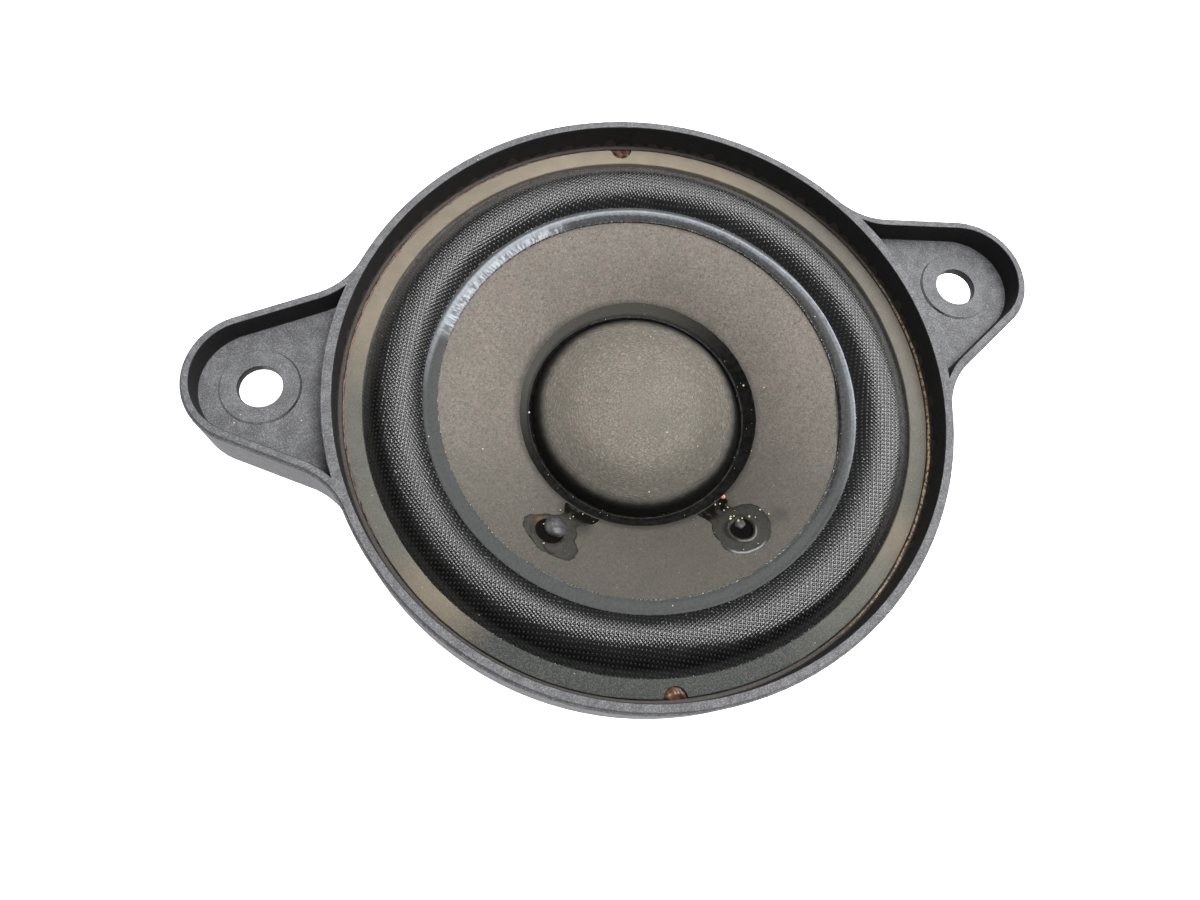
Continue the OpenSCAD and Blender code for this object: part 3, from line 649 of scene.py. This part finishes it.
def softened(node, width, body, slot, material, angle=30):
    """Stands for a rigid CAD node: the same shape with its sharp edges rounded off."""
    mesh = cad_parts[node].data.copy()
    piece = bpy.data.objects.new(node + "_part", mesh)
    scene.collection.objects.link(piece)
    bm = bmesh.new()
    bm.from_mesh(mesh)
    bmesh.ops.remove_doubles(bm, verts=bm.verts, dist=2e-6)
    bmesh.ops.dissolve_limit(bm, angle_limit=math.radians(0.3), verts=bm.verts, edges=bm.edges)
    edges = [e for e in bm.edges if e.is_manifold and e.calc_face_angle(0) > math.radians(angle)]
    bmesh.ops.bevel(bm, geom=edges, offset=width * MM, segments=2, profile=0.5, affect="EDGES",
        clamp_overlap=False)
    bm.to_mesh(mesh)
    bm.free()
    mesh.materials.clear()
    mesh.materials.append(material)
    mesh.shade_smooth()
    mesh.set_sharp_from_angle(angle=math.radians(50))
    weight = piece.modifiers.new("weight", "WEIGHTED_NORMAL")
    weight.keep_sharp = True
    finish_piece(piece, body, slot, node)
    return piece


def finish_piece(piece, body, slot, *nodes):
    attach(piece, body)
    if nodes:
        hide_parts(*nodes)


def bend_radially(piece, node):
    """Bakes the piece's placement into its points, reads them and hides the CAD node it stands for."""
    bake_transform(piece)
    co = np.empty(len(piece.data.vertices) * 3)
    piece.data.vertices.foreach_get("co", co)
    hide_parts(node)


# ---------------------------------------------------------------- the soft and visible pieces
def roll_line(crest_r):
    """The middle line of the cloth's section, from its inner to its outer edge."""
    flange_r = np.linspace(BOND_IN_R, ROLL_IN_R, 16)
    inner = np.column_stack([flange_r, cone_height(flange_r, (CONE_T + CLOTH_T) / 2)])
    landing = LANDING_Z + CLOTH_T / 2
    r = np.linspace(ROLL_IN_R, ROLL_OUT_R, 60)
    drop = np.where(r < crest_r, np.clip((crest_r - r) / (crest_r - ROLL_IN_R), 0, 1) ** INNER_FLANK,
        np.clip((r - crest_r) / (ROLL_OUT_R - crest_r), 0, 1) ** OUTER_FLANK)
    base = np.interp(r, [ROLL_IN_R, ROLL_OUT_R], [inner[-1, 1], landing])
    roll = np.column_stack([r, base + ROLL_RISE * (1 - drop)])
    outer = np.column_stack([np.linspace(ROLL_OUT_R, CLOTH_OUT_R, 14), np.full(14, landing)])
    line = np.vstack([inner, roll[1:], outer[1:]])
    for _ in range(3):  # the cloth turns its corners softly
        line[1:-1] = (line[:-2] + 2 * line[1:-1] + line[2:]) / 4
    return line


def thick_section(line, thickness):
    """A closed section round a line, that thick."""
    way = np.gradient(line, axis=0)
    way /= np.linalg.norm(way, axis=1)[:, None]
    side = np.column_stack([-way[:, 1], way[:, 0]]) * thickness / 2
    return np.vstack([line + side, (line - side)[::-1]])


def make_surround():
    steps = 560
    angle = circle_angles(steps)[:, None]
    crest = np.interp(np.degrees(angle[:, 0]), *np.transpose(CREST))
    for _ in range(6):
        crest = (np.roll(crest, 2) + crest + np.roll(crest, -2)) / 3
    sections = np.array([thick_section(roll_line(r), CLOTH_T) for r in crest])
    radius, height = sections[..., 0], sections[..., 1]
    free = smoothstep((radius - ROLL_IN_R) / 2) * smoothstep((ROLL_OUT_R - radius) / 2)
    height += free * (ripple(angle, 1, (2, 3, 5), 0.05)
        + ripple(angle + radius * 0.12, 2, (23, 31, 47), 0.012))
    piece = lathe("surround_cloth", radius, height, CLOTH)
    # dust and painted sheen: beside the gasket, most from 35 to 165 degrees, and on the outer flank from 328
    # to 150 degrees
    valley_sheen_and_dust = smoothstep((radius - 43.5) / 0.8) * (0.2 + 0.8 * window(angle, 35, 165, 30))
    valley_sheen_and_dust = np.maximum(valley_sheen_and_dust, 0.7 * smoothstep((radius - 41.2) / 2.2) * window(angle, 328, 510, 40))
    add_mask(piece, "valley_sheen_and_dust", valley_sheen_and_dust.ravel())
    add_mask(piece, "dust", (0.1 * darkening(angle) * smoothstep((39 - radius) / 2)).ravel())
    bend_radially(piece, "surround")


def gasket_lit_tones(angle):
    """The card's colour round the ring, with painted reflection: light and warm at the top and in two tan
    spots, grey-green below, darkest on the slate stretch.
    """
    beige, cream, tan = srgb(130, 120, 105), srgb(116, 107, 94), srgb(104, 96, 83)
    grey, green, slate = srgb(102, 98, 90), srgb(82, 82, 76), srgb(45, 49, 48)
    stops = [(0, grey), (35, grey), (62, beige), (95, beige), (120, cream), (155, cream), (172, green),
        (202, green), (210, tan), (218, tan), (228, slate), (282, slate), (308, green), (320, tan),
        (328, green), (360, grey)]
    return np.array([np.interp(np.degrees(angle), [s[0] for s in stops], [s[1][k] for s in stops])
        for k in range(4)]).T


def notch_cut(angle, radius):
    """How far out the card reaches at each azimuth, with its round notches."""
    reach = radius.copy()
    for notch in NOTCH_ANGLES:
        off = (angle - math.radians(notch) + math.pi) % (2 * math.pi) - math.pi
        across = GASKET_OUT_R * off
        inside = np.clip(NOTCH_R ** 2 - across ** 2, 0, None)
        reach = np.where(np.abs(across) < NOTCH_R, np.minimum(reach, GASKET_OUT_R - np.sqrt(inside)), reach)
    return reach


def make_gasket():
    steps = 1440
    angle = circle_angles(steps)
    ragged = window(angle, 95, 200, 20)
    out = GASKET_OUT_R - 0.06 + ripple(angle, 3, (9, 17, 29), 0.03)
    out += ragged * (ripple(angle, 4, (61, 97, 139, 191), 0.07) - 0.05)
    out = notch_cut(angle, out)
    inner = GASKET_IN_R + ripple(angle, 5, (7, 13, 41), 0.04)
    bottom, top = LANDING_Z + CLOTH_T, LANDING_Z + CLOTH_T + GASKET_T
    soft = 0.12
    section = [(0.0, 0.0, bottom), (0.0, 0.0, top - soft), (0.0, soft, top)]
    section += [(share, 0.0, top) for share in (0.15, 0.3, 0.5, 0.7, 0.85)]
    section += [(1.0, -soft, top), (1.0, 0.0, top - soft), (1.0, 0.0, bottom)]
    section += [(0.6, 0.0, bottom), (0.3, 0.0, bottom)]
    radius = np.stack([inner + (out - inner) * share + shift for share, shift, _ in section], 1)
    height = np.broadcast_to([z for _, _, z in section], radius.shape).copy()
    dome = np.array([0.03 if z == top and 0 < share < 1 else 0.0 for share, _, z in section])
    height += dome * ripple(angle[:, None], 6, (11, 19, 37), 1.0)
    piece = lathe("gasket_card", radius, height, CARD)
    # the lit tone carries the painted reflection round the ring
    add_tone(piece, "lit_tone", np.repeat(gasket_lit_tones(angle), len(section), axis=0))
    finish_piece(piece, "frame", "gasket_paper", "gasket_ring")


def bead(name, start, end, radius, height, size, seed, material, waves=(37, 61, 89, 131)):
    """A lumpy bead of glue along an arc about the axis, tapering at both ends."""
    count = int((end - start) * 4)
    t = np.linspace(0, 1, count)
    angle = np.radians(start + (end - start) * t)
    taper = np.sqrt(np.clip(np.sin(math.pi * t), 0.02, 1))
    thick = size * taper * (1 + ripple(angle, seed, waves, 0.28))
    sway = ripple(angle, seed + 1, waves[:3], size * 0.35)
    sides = 10
    round_ = circle_angles(sides)
    r = radius + sway[:, None] + thick[:, None] * np.cos(round_)
    z = height + thick[:, None] * np.sin(round_)
    points = np.stack([r * np.cos(angle)[:, None], r * np.sin(angle)[:, None], z], -1).reshape(-1, 3)
    faces = [f for f in ring_faces(count, sides) if max(f) - min(f) < 3 * sides]
    faces.append(tuple(range(sides)))
    faces.append(tuple((count - 1) * sides + j for j in reversed(range(sides))))
    piece = add_piece(name, points, faces, material, smooth_below=60)
    add_mask(piece, "cream", np.repeat(window(angle, 300, 380, 15) * 0.8, sides))
    return piece


def make_gasket_glue():
    top = LANDING_Z + CLOTH_T + GASKET_T
    line = bead("gasket_glue_bead", 291, 386, 48.33, top - 0.04, 0.24, 11, AMBER, waves=(13, 29, 47, 71))
    finish_piece(line, "frame", "amber_glue", "gasket_glue")
    brown = bead("gasket_glue_line", 94, 200, GASKET_OUT_R - 0.08, top - 0.1, 0.2, 13, AMBER)
    finish_piece(brown, "frame", "amber_glue")
    for number, notch in enumerate(NOTCH_ANGLES):
        side = 24
        u, v = np.meshgrid(np.linspace(-1, 1, side), np.linspace(0, 1, side), indexing="ij")
        reach = NOTCH_R * (0.98 + 0.02 * u * u)
        across = u * reach
        depth = np.sqrt(np.clip(NOTCH_R ** 2 - across ** 2, 0.0004, None))
        r = GASKET_OUT_R - depth * v * 0.98 + 0.1 * (1 - v)
        lump = (1 - u ** 4) * (0.25 + 0.5 * number * np.sin(math.pi * np.clip(v, 0, 1)) ** 0.7)
        z_top = top - 0.55 + lump + 0.08 * np.sin(9 * u + 4 * v)
        angle = math.radians(notch) + across / GASKET_OUT_R
        upper = np.stack([r * np.cos(angle), r * np.sin(angle), z_top], -1).reshape(-1, 3)
        lower = upper.copy()
        lower[:, 2] = LANDING_Z + CLOTH_T + 0.01
        drop = sheet_piece(f"gasket_glue_drop_{number + 1}", upper, lower, side, side, AMBER)
        finish_piece(drop, "frame", "amber_glue")


def sheet_piece(name, upper, lower, rows, columns, material):
    """A closed solid between an upper and a lower grid of points."""
    faces, count = [], rows * columns
    for i in range(rows - 1):
        for j in range(columns - 1):
            here, next_row = i * columns + j, (i + 1) * columns + j
            face = (here, next_row, next_row + 1, here + 1)
            faces.append(face)
            faces.append(tuple(count + corner for corner in reversed(face)))
    edge = [i * columns for i in range(rows)] + [(rows - 1) * columns + j for j in range(1, columns)]
    edge += [i * columns + columns - 1 for i in range(rows - 2, -1, -1)] + list(range(columns - 2, 0, -1))
    for a, b in zip(edge, edge[1:] + edge[:1]):
        faces.append((b, a, count + a, count + b))
    piece = add_piece(name, np.vstack([upper, lower]), faces, material)
    bm = bmesh.new()
    bm.from_mesh(piece.data)
    bmesh.ops.recalc_face_normals(bm, faces=bm.faces)
    bm.to_mesh(piece.data)
    bm.free()
    return piece


# Soft stains on the cone: lead, across and outward from it, size and strength.
STAINS = [("left", 3.4, -3.4, 2.4, 0.6), ("left", 0.6, -5.0, 2.4, 0.65), ("right", -0.8, -5.4, 3.4, 0.6),
    ("right", 4.9, 3.0, 1.3, 0.3), ("right", 3.4, 2.4, 1.2, 0.25)]


def stains(angle, radius):
    """How black the paper is stained at each place, 0 to 1."""
    total = np.zeros_like(radius)
    for side, across, outward, size, strength in STAINS:
        off = (angle - math.radians(LEAD_ANGLES[side]) + math.pi) % (2 * math.pi) - math.pi
        gap = np.hypot(off * LEAD_R - across, radius - LEAD_R - outward) / size
        total = np.maximum(total, strength * np.exp(-gap ** 4))
    return total


def make_cone():
    r = np.linspace(FORMER_R + 0.02, CONE_EDGE[0], 84)
    line = np.column_stack([r, cone_height(r)])
    section = thick_section(line, CONE_T)
    steps = 560
    angle = circle_angles(steps)[:, None]
    radius = np.broadcast_to(section[:, 0], (steps, len(section))).copy()
    height = np.broadcast_to(section[:, 1], radius.shape) + np.zeros_like(radius)
    free = smoothstep((radius - 21) / 3) * smoothstep((33 - radius) / 2)
    height += free * ripple(angle + radius * 0.2, 21, (3, 5, 9), 0.025)
    piece = lathe("cone_paper", radius, height, CONE_PAPER)
    halo = smoothstep((21.4 - radius) / 1.2) * 0.5
    add_mask(piece, "stain_and_shade", np.maximum(halo, stains(angle, radius)).ravel())
    # darker on the side from about 195 to 335 degrees
    add_mask(piece, "darkening", (0.72 * darkening(angle) * np.ones_like(radius)).ravel())
    add_mask(piece, "dust", (0.04 + 0.06 * darkening(angle) * np.ones_like(radius)).ravel())
    finish_piece(piece, "cone_assembly", "cone_paper", "cone")


def cap_line():
    """The middle line of the dust cap from its apex to its foot."""
    foot_z = float(cone_height(CAP_R, CONE_T / 2))
    foot = np.array([CAP_R, foot_z])
    foot_top = foot + [-FOOT_H / math.tan(FOOT_SLOPE), FOOT_H]
    shoulder = foot_top - SHOULDER_R * np.array([math.sin(FOOT_SLOPE), math.cos(FOOT_SLOPE)])
    half = math.asin(shoulder[0] / (CAP_DOME_R - SHOULDER_R))
    dome_z = shoulder[1] - (CAP_DOME_R - SHOULDER_R) * math.cos(half)
    dome = [(CAP_DOME_R * math.sin(t), dome_z + CAP_DOME_R * math.cos(t)) for t in np.linspace(0, half, 70)]
    bend = [shoulder + SHOULDER_R * np.array([math.sin(t), math.cos(t)])
        for t in np.linspace(half, FOOT_SLOPE, 12)[1:]]
    wall = [foot_top + (foot - foot_top) * t for t in np.linspace(0, 1, 8)[1:]]
    return np.vstack([dome, bend, wall])


def make_cap():
    line = cap_line()
    section = thick_section(line, CAP_T)
    section[[0, -1], 0] = 0
    steps = 420
    angle = circle_angles(steps)[:, None]
    radius = np.broadcast_to(section[:, 0], (steps, len(section))).copy()
    height = np.broadcast_to(section[:, 1], radius.shape).copy()
    x, y = radius * np.cos(angle), radius * np.sin(angle)
    free = smoothstep((16.5 - radius) / 5)
    height += free * 0.05 * (np.sin(x * 0.31 + 1.1) * np.sin(y * 0.27) + np.sin(x * 0.17 - y * 0.23))
    piece = lathe("dust_cap_paper", radius, height, CAP_PAPER, closed=False)
    stain_and_shade = smoothstep((radius + ripple(angle, 35, (5, 9, 17, 41), 0.12) - 15.2) / 1.9)
    add_mask(piece, "stain_and_shade", (stain_and_shade * 0.95).ravel())
    # darker towards the cap's edge, most on the darker side
    add_mask(piece, "darkening", ((0.3 + 0.25 * darkening(angle)) * smoothstep((radius - 8) / 6)).ravel())
    close_axis(piece)
    finish_piece(piece, "cone_assembly", "cap_paper", "dust_cap")


def make_cap_glue():
    """The black fillet between the cap's foot and the cone, with a thin lip against the cap."""
    steps, count = 720, 22
    angle = circle_angles(steps)[:, None]
    t = np.linspace(0, 1, count)[None, :]
    wide = 2.1 + 0.55 * window(angle, 320, 470, 60) + ripple(angle, 31, (2, 3, 7, 19, 43), 0.09)
    top_r = CAP_R + 0.05 + (wide + 0.15) * t
    lip = 0.16 * np.exp(-((top_r - 18.35) / 0.13) ** 2) * (1 + ripple(angle, 33, (29, 53, 71), 0.25))
    sag = 0.62 * (1 - t) ** 2.2
    top_z = (cone_height(top_r, CONE_T / 2) + sag * (1 + ripple(angle, 32, (5, 11, 23), 0.08))
        + lip + 0.07 - 0.1 * t ** 3)
    low_r = CAP_R - 0.3 + (wide + 0.5) * t[:, ::-1]
    low_z = cone_height(low_r, CONE_T / 2 - 0.15)
    radius, height = np.hstack([top_r, low_r]), np.hstack([top_z, low_z])
    piece = lathe("dust_cap_glue_ring", radius, height, GLUE)
    # greyer over the outer part of the ring from about 45 to 172 degrees
    greyed_arc = smoothstep((radius - 18.4) / 0.8) * smoothstep(window(angle, 45, 172, 60))
    add_mask(piece, "greyed_arc", greyed_arc.ravel())
    finish_piece(piece, "cone_assembly", "black_glue", "dust_cap_glue")


def make_bond():
    """Glue over the cloth's inner flange, with a bead at the foot of the roll."""
    steps, count = 720, 26
    angle = circle_angles(steps)[:, None]
    lift = CONE_T / 2 + CLOTH_T
    milk = window(angle, 102, 151, 5)
    inner = BOND_IN_R + 0.05 + ripple(angle, 41, (7, 17, 31, 67), 0.06)
    inner = inner - 0.55 * window(angle, 336, 354, 8) - milk * (0.1 + ripple(angle, 42, (83, 127, 201), 0.08))
    t = np.linspace(0, 1, count)[None, :]
    top_r = inner + (ROLL_IN_R - 0.12 - inner) * t
    thick = 0.03 + 0.1 * smoothstep(t * 4) * (1 + ripple(angle, 43, (13, 29, 59), 0.15))
    ridge = 0.1 + 0.18 * window(angle, 330, 510, 20)
    ridge_r = 35.42 - 0.6 * window(angle, 30, 150, 24)
    bead_top = ridge * np.exp(-((top_r - ridge_r) / 0.3) ** 2) * (1 + ripple(angle, 44, (31, 47, 83), 0.12))
    cloth_edge = smoothstep((top_r - BOND_IN_R + 0.25) / 0.3)
    top_z = cone_height(top_r, CONE_T / 2) + CLOTH_T * cloth_edge + thick + bead_top
    low_r = top_r[:, ::-1]
    low_z = cone_height(low_r, lift) - 0.3 * (1 - cloth_edge[:, ::-1]) - 0.05
    piece = lathe("bond_glue_film", np.hstack([top_r, low_r]), np.hstack([top_z, low_z]), BOND)
    shine = 0.9 * np.exp(-((top_r - ridge_r + 0.05) / 0.45) ** 4) * window(angle, 335, 515, 30)
    milk = milk * smoothstep((35.3 - top_r) / 0.4)
    add_mask(piece, "milk", np.hstack([milk, np.zeros_like(low_r)]).ravel())
    add_mask(piece, "shine", np.hstack([shine, np.zeros_like(low_r)]).ravel())
    dark = smoothstep((34.6 - top_r) / 0.4) * window(angle, 318, 464, 12) * 0.95
    add_mask(piece, "stain_and_shade", np.hstack([dark, np.zeros_like(low_r)]).ravel())
    finish_piece(piece, "cone_assembly", "grey_glue", "surround_glue")


# Each lead's glue is a skin made of discs: (across, outward, radius), in millimetres from the lead.
SKINS = {
    "left": [(0.0, 0.3, 3.0), (-1.9, 1.6, 2.4), (0.6, 2.7, 2.3), (2.9, 2.3, 2.3), (2.2, -0.7, 1.9),
        (0.9, -2.6, 1.5), (1.8, -3.8, 1.7), (3.4, -4.8, 1.7), (1.4, -6.4, 2.7), (4.2, -6.6, 2.4)],
    "right": [(-0.8, 1.1, 4.4), (-1.8, -1.2, 3.1), (1.2, -0.4, 3.0), (-1.4, -4.2, 2.7), (-1.2, -6.8, 3.6)],
}


def on_cone(side, across, outward, lift):
    """Points on the cone round a lead, that far above its paper's top."""
    r = LEAD_R + outward * math.cos(cone_slope(LEAD_R))
    angle = math.radians(LEAD_ANGLES[side]) + across / LEAD_R
    return np.stack([r * np.cos(angle), r * np.sin(angle), cone_height(r, CONE_T / 2) + lift], -1)


def skin_field(side, across, outward):
    """How far inside the joined discs of a skin each place is, in millimetres; below 0 outside."""
    sharpness = 4.0
    total = sum(np.exp(sharpness * (radius - np.hypot(across - a, outward - o)))
        for a, o, radius in SKINS[side])
    return np.log(total) / sharpness


def make_skin(side):
    """The glue soaked into the paper round a lead: a flooded dome on the left, a burst one on the right."""
    cells = 190
    line = np.linspace(-6.6, 6.6, cells)
    across, outward = np.meshgrid(line, np.linspace(-6.3, 6.0, cells), indexing="ij")
    flat = np.stack([across, outward, np.zeros_like(across)], -1).reshape(-1, 3)
    rough = grain(flat, 1.3, 3 if side == "left" else 5).reshape(across.shape)
    field = skin_field(side, across, outward) + 0.15 * rough
    body = smoothstep((field + 0.1) / 0.35)
    edge = np.exp(-((field - 0.2) / 0.16) ** 2)
    lift = -0.1 + 0.15 * body + 0.05 * edge * (0.6 + rough) + 0.03 * rough
    neck = smoothstep((-outward - 2.6) / 2.2)
    if side == "left":
        near = np.hypot(across + 0.1, outward - 0.9)
        lift += 0.16 * np.exp(-((near - 2.75) / 0.4) ** 2) * (0.7 + 0.9 * rough)
        # painted shade: the pit round the lump is coloured black like a deep hole
        pit = smoothstep((2.5 - near) / 0.35)
        rust = np.exp(-(((across + 2.5) / 0.5) ** 2 + ((outward - 0.2) / 0.9) ** 2))
        crack = np.exp(-((np.hypot(across - 1.6, outward - 2.9) - 1.5) / 0.2) ** 2) * (across < 2.4)
        stain_and_shade = np.maximum(pit, 0.7 * crack)
        glint = np.zeros_like(field)
    else:
        near = np.hypot((across + 0.8) * (1.05 + 0.1 * outward), outward - 0.7)
        lift += 0.4 * np.exp(-((near - 2.35) / 0.38) ** 2) * (1 + 0.5 * rough)
        # painted shade: the burst pit is coloured black like a deep hole
        pit = smoothstep((2.15 - near) / 0.3)
        rust = 0.3 * neck * (rough > 0.1)
        stain_and_shade = pit
        glint = (0.7 * np.exp(-((field - 0.4) / 0.16) ** 2) * smoothstep((outward - 2.2) / 1.5)
            * smoothstep((0.8 - across) / 1.5))
        rim = 0.5 * np.exp(-((near - 2.45) / 0.16) ** 2)
        glint = np.maximum(glint, rim * smoothstep((outward - 1.4) / 1.2))
    outline = 0.5 * np.exp(-((field - 0.22) / 0.16) ** 2) * smoothstep((rough + 0.5 - 0.2 * outward) / 0.6)
    stain_and_shade = np.clip(np.maximum(np.maximum(stain_and_shade, outline), 0.95 * neck * smoothstep(0.9 + rough)), 0, 1)
    keep = field > -0.12
    points = on_cone(side, across, outward, lift).reshape(-1, 3)
    index = np.arange(points.shape[0]).reshape(across.shape)
    faces = [(int(index[i, j]), int(index[i + 1, j]), int(index[i + 1, j + 1]), int(index[i, j + 1]))
        for i in range(cells - 1) for j in range(cells - 1) if keep[i:i + 2, j:j + 2].all()]
    piece = add_piece("lead_skin_" + side, points, faces, FILM)
    add_mask(piece, "rust", (rust * np.ones_like(lift)).ravel())
    add_mask(piece, "stain_and_shade", stain_and_shade.ravel())
    add_mask(piece, "glint", glint.ravel())
    bm = bmesh.new()
    bm.from_mesh(piece.data)
    bmesh.ops.delete(bm, geom=[v for v in bm.verts if not v.link_faces], context="VERTS")
    made = bmesh.ops.extrude_face_region(bm, geom=list(bm.faces))
    for v in [g for g in made["geom"] if isinstance(g, bmesh.types.BMVert)]:
        v.co.z -= 0.1 * MM
    bmesh.ops.recalc_face_normals(bm, faces=bm.faces)
    bm.to_mesh(piece.data)
    bm.free()
    finish_piece(piece, "cone_assembly", "black_glue")


def make_crumbs(name, side, places, material, seed):
    """Small angular crumbs at (across, outward, size) from a lead."""
    rng = np.random.default_rng(seed)
    bm = bmesh.new()
    for across, outward, size in places:
        at = on_cone(side, np.array(across), np.array(outward), 0.12 + size * 0.3)
        made = bmesh.ops.create_icosphere(bm, subdivisions=1, radius=size / 2 * MM)
        for v in made["verts"]:
            v.co = Vector(rng.uniform(0.7, 1.3) * c for c in v.co) + Vector(at) * MM
    mesh = bpy.data.meshes.new(name)
    bm.to_mesh(mesh)
    bm.free()
    mesh.materials.append(material)
    piece = bpy.data.objects.new(name, mesh)
    scene.collection.objects.link(piece)
    finish_piece(piece, "cone_assembly", "amber_glue")


def make_lump(side, across, outward, size, height, seed):
    """The hardened drop over a lead's end."""
    rows, columns = 26, 48
    t = np.linspace(0, 1, rows)[:, None]
    a = circle_angles(columns)[None, :]
    reach = size * (1 + ripple(a, seed, (2, 3, 5), 0.07))
    rise = height * np.sqrt(np.clip(1 - t ** 2.4, 0, 1)) * (1 + 0.12 * np.sin(2 * a + seed) * t)
    px, py = across + reach * t * np.cos(a), outward + reach * t * np.sin(a)
    rise = rise + 0.09 * np.sin(px * 4.1 + seed) * np.sin(py * 3.7) * (1 - t)
    points = on_cone(side, px, py, rise - 0.1).reshape(-1, 3)
    faces = [(i * columns + j, (i + 1) * columns + j, (i + 1) * columns + (j + 1) % columns,
        i * columns + (j + 1) % columns) for i in range(rows - 1) for j in range(columns)]
    faces.append(tuple((rows - 1) * columns + j for j in reversed(range(columns))))
    piece = add_piece("lead_lump_" + side, points, faces, LUMP)
    close_axis(piece)
    finish_piece(piece, "cone_assembly", "black_glue", "lead_glue_" + side)


def spider_line():
    pitch = (SHELF_IN_R - SPIDER_IN_R) / SPIDER_WAVES
    r = np.linspace(SPIDER_IN_R, SHELF_IN_R, 24 * SPIDER_WAVES + 1)
    wave = np.column_stack([r, SPIDER_Z + SPIDER_RISE * np.sin((r - SPIDER_IN_R) / pitch * 2 * math.pi)])
    collar = [(FORMER_R + SPIDER_T / 2, SPIDER_Z + 0.75), (FORMER_R + SPIDER_T / 2, SPIDER_Z + 0.3),
        (FORMER_R + 0.5, SPIDER_Z + 0.02), (FORMER_R + 0.9, SPIDER_Z)]
    rim = [(r_out, SPIDER_Z) for r_out in np.linspace(SHELF_IN_R, SPIDER_OUT_R, 12)[1:]]
    return np.vstack([collar, wave, rim])


def make_spider():
    section = thick_section(spider_line(), SPIDER_T)
    piece = turned("spider_cloth", section, 300, RESIN_CLOTH)
    bend_radially(piece, "spider")


def bezier(points, t):
    p = [np.asarray(q, float) for q in points]
    t = t[:, None]
    return (1 - t) ** 3 * p[0] + 3 * (1 - t) ** 2 * t * p[1] + 3 * (1 - t) * t ** 2 * p[2] + t ** 3 * p[3]


def make_lead(side):
    """A braided lead from the drop below the cone to its terminal."""
    slope, turn = cone_slope(LEAD_R), math.radians(LEAD_ANGLES[side])

    def below(d):
        r = LEAD_R + d * math.sin(slope)
        return (r * math.cos(turn), r * math.sin(turn), float(cone_height(LEAD_R)) - d * math.cos(slope))

    sign = -1 if side == "left" else 1
    end = (sign * LEAD_END[0], LEAD_END[1], LEAD_END[2])
    start = CONE_T / 2 + DROP_H - 0.2
    route = [below(start), below(start + 6), (end[0] + sign, end[1] + 7, end[2] - 2), end]
    rings, sides = 90, 14
    middle = bezier(route, np.linspace(0, 1, rings))
    way = np.gradient(middle, axis=0)
    way /= np.linalg.norm(way, axis=1)[:, None]
    across = np.cross(way, (1.0, 0.0, 0.0))
    across /= np.linalg.norm(across, axis=1)[:, None]
    up = np.cross(across, way)
    a = circle_angles(sides)
    strand = LEAD_D / 2 * (1 + 0.05 * np.cos(2 * a + np.arange(rings)[:, None] * 0.9))
    points = middle[:, None] + strand[..., None] * (
        np.cos(a)[:, None] * across[:, None] + np.sin(a)[:, None] * up[:, None])
    faces = [f for f in ring_faces(rings, sides) if max(f) - min(f) < 3 * sides]
    faces.append(tuple(reversed(range(sides))))
    faces.append(tuple((rings - 1) * sides + j for j in range(sides)))
    piece = add_piece("tinsel_braid_" + side, points.reshape(-1, 3), faces, TINSEL)
    length = np.concatenate([[0], np.cumsum(np.linalg.norm(np.diff(middle, axis=0), axis=1))])
    add_mask(piece, "along", np.repeat(length / 1.1, sides))
    add_mask(piece, "around", np.tile(np.arange(sides) / sides * 2, rings))
    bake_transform(piece)
    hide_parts("tinsel_lead_" + side)


make_surround()
make_gasket()
make_gasket_glue()
make_cone()
make_cap()
make_cap_glue()
make_bond()
for side in LEAD_ANGLES:
    make_skin(side)
    make_lead(side)
make_lump("left", 0.25, -0.35, 1.95, 1.35, 51)
make_lump("right", -0.3, -0.3, 0.9, 0.5, 52)
make_crumbs("lead_crumbs_left", "left", [
    (-1.0, -3.9, 0.3), (1.4, -3.6, 0.22), (1.7, -4.3, 0.26), (0.3, 3.6, 0.34), (3.0, -5.9, 0.3),
    (-4.3, -0.4, 0.2), (-1.5, 0.5, 0.25)], CRUMB, 61)
make_crumbs("lead_crumbs_right", "right", [(-0.2, -1.0, 0.5), (0.65, -0.85, 0.32), (1.6, -0.25, 0.42),
    (-0.85, -2.1, 0.42), (-0.5, -2.4, 0.36), (0.0, -2.1, 0.3), (-0.3, -4.1, 0.3), (0.65, -4.1, 0.32),
    (0.4, -5.6, 0.3), (-0.4, -6.0, 0.34), (3.9, 1.9, 0.36), (3.7, 0.3, 0.34), (2.2, 0.6, 0.24),
    (-2.9, 3.8, 0.2), (-0.7, 4.4, 0.2)], CRUMB, 62)
make_crumbs("rust_crumb", "right", [(2.0, -6.1, 0.75), (2.4, -6.2, 0.5)], RUST_CRUMB, 63)
make_spider()

softened("basket", 0.15, "frame", "basket_plastic", PLASTIC)
softened("top_plate", 0.25, "frame", "zinc_steel", STEEL)
softened("back_plate", 0.3, "frame", "zinc_steel", STEEL)
softened("pole_piece", 0.2, "frame", "zinc_steel", STEEL)
softened("ring_magnet", 0.3, "frame", "ferrite", FERRITE)
softened("motor_screws", 0.08, "frame", "black_screw", SCREW)
softened("terminal_board", 0.08, "frame", "board_laminate", BOARD)
softened("terminal_positive", 0.1, "frame", "tab_brass", BRASS)
softened("terminal_negative", 0.1, "frame", "tab_brass", BRASS)
softened("terminal_rivets", 0.12, "frame", "tinned_metal", TIN)
softened("solder_lugs", 0.06, "frame", "tinned_metal", TIN)

# CAD nodes whose shape is already right keep it and get their material.
for node, material in {
    "voice_coil_former": COIL_FILM, "voice_coil_winding": WIRE, "coil_paper_collar": COLLAR,
    "neck_glue": GLUE, "spider_glue": GLUE, "solder_joint_left": SOLDER, "solder_joint_right": SOLDER,
}.items():
    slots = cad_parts[node].data.materials
    slots.clear()
    slots.append(material)
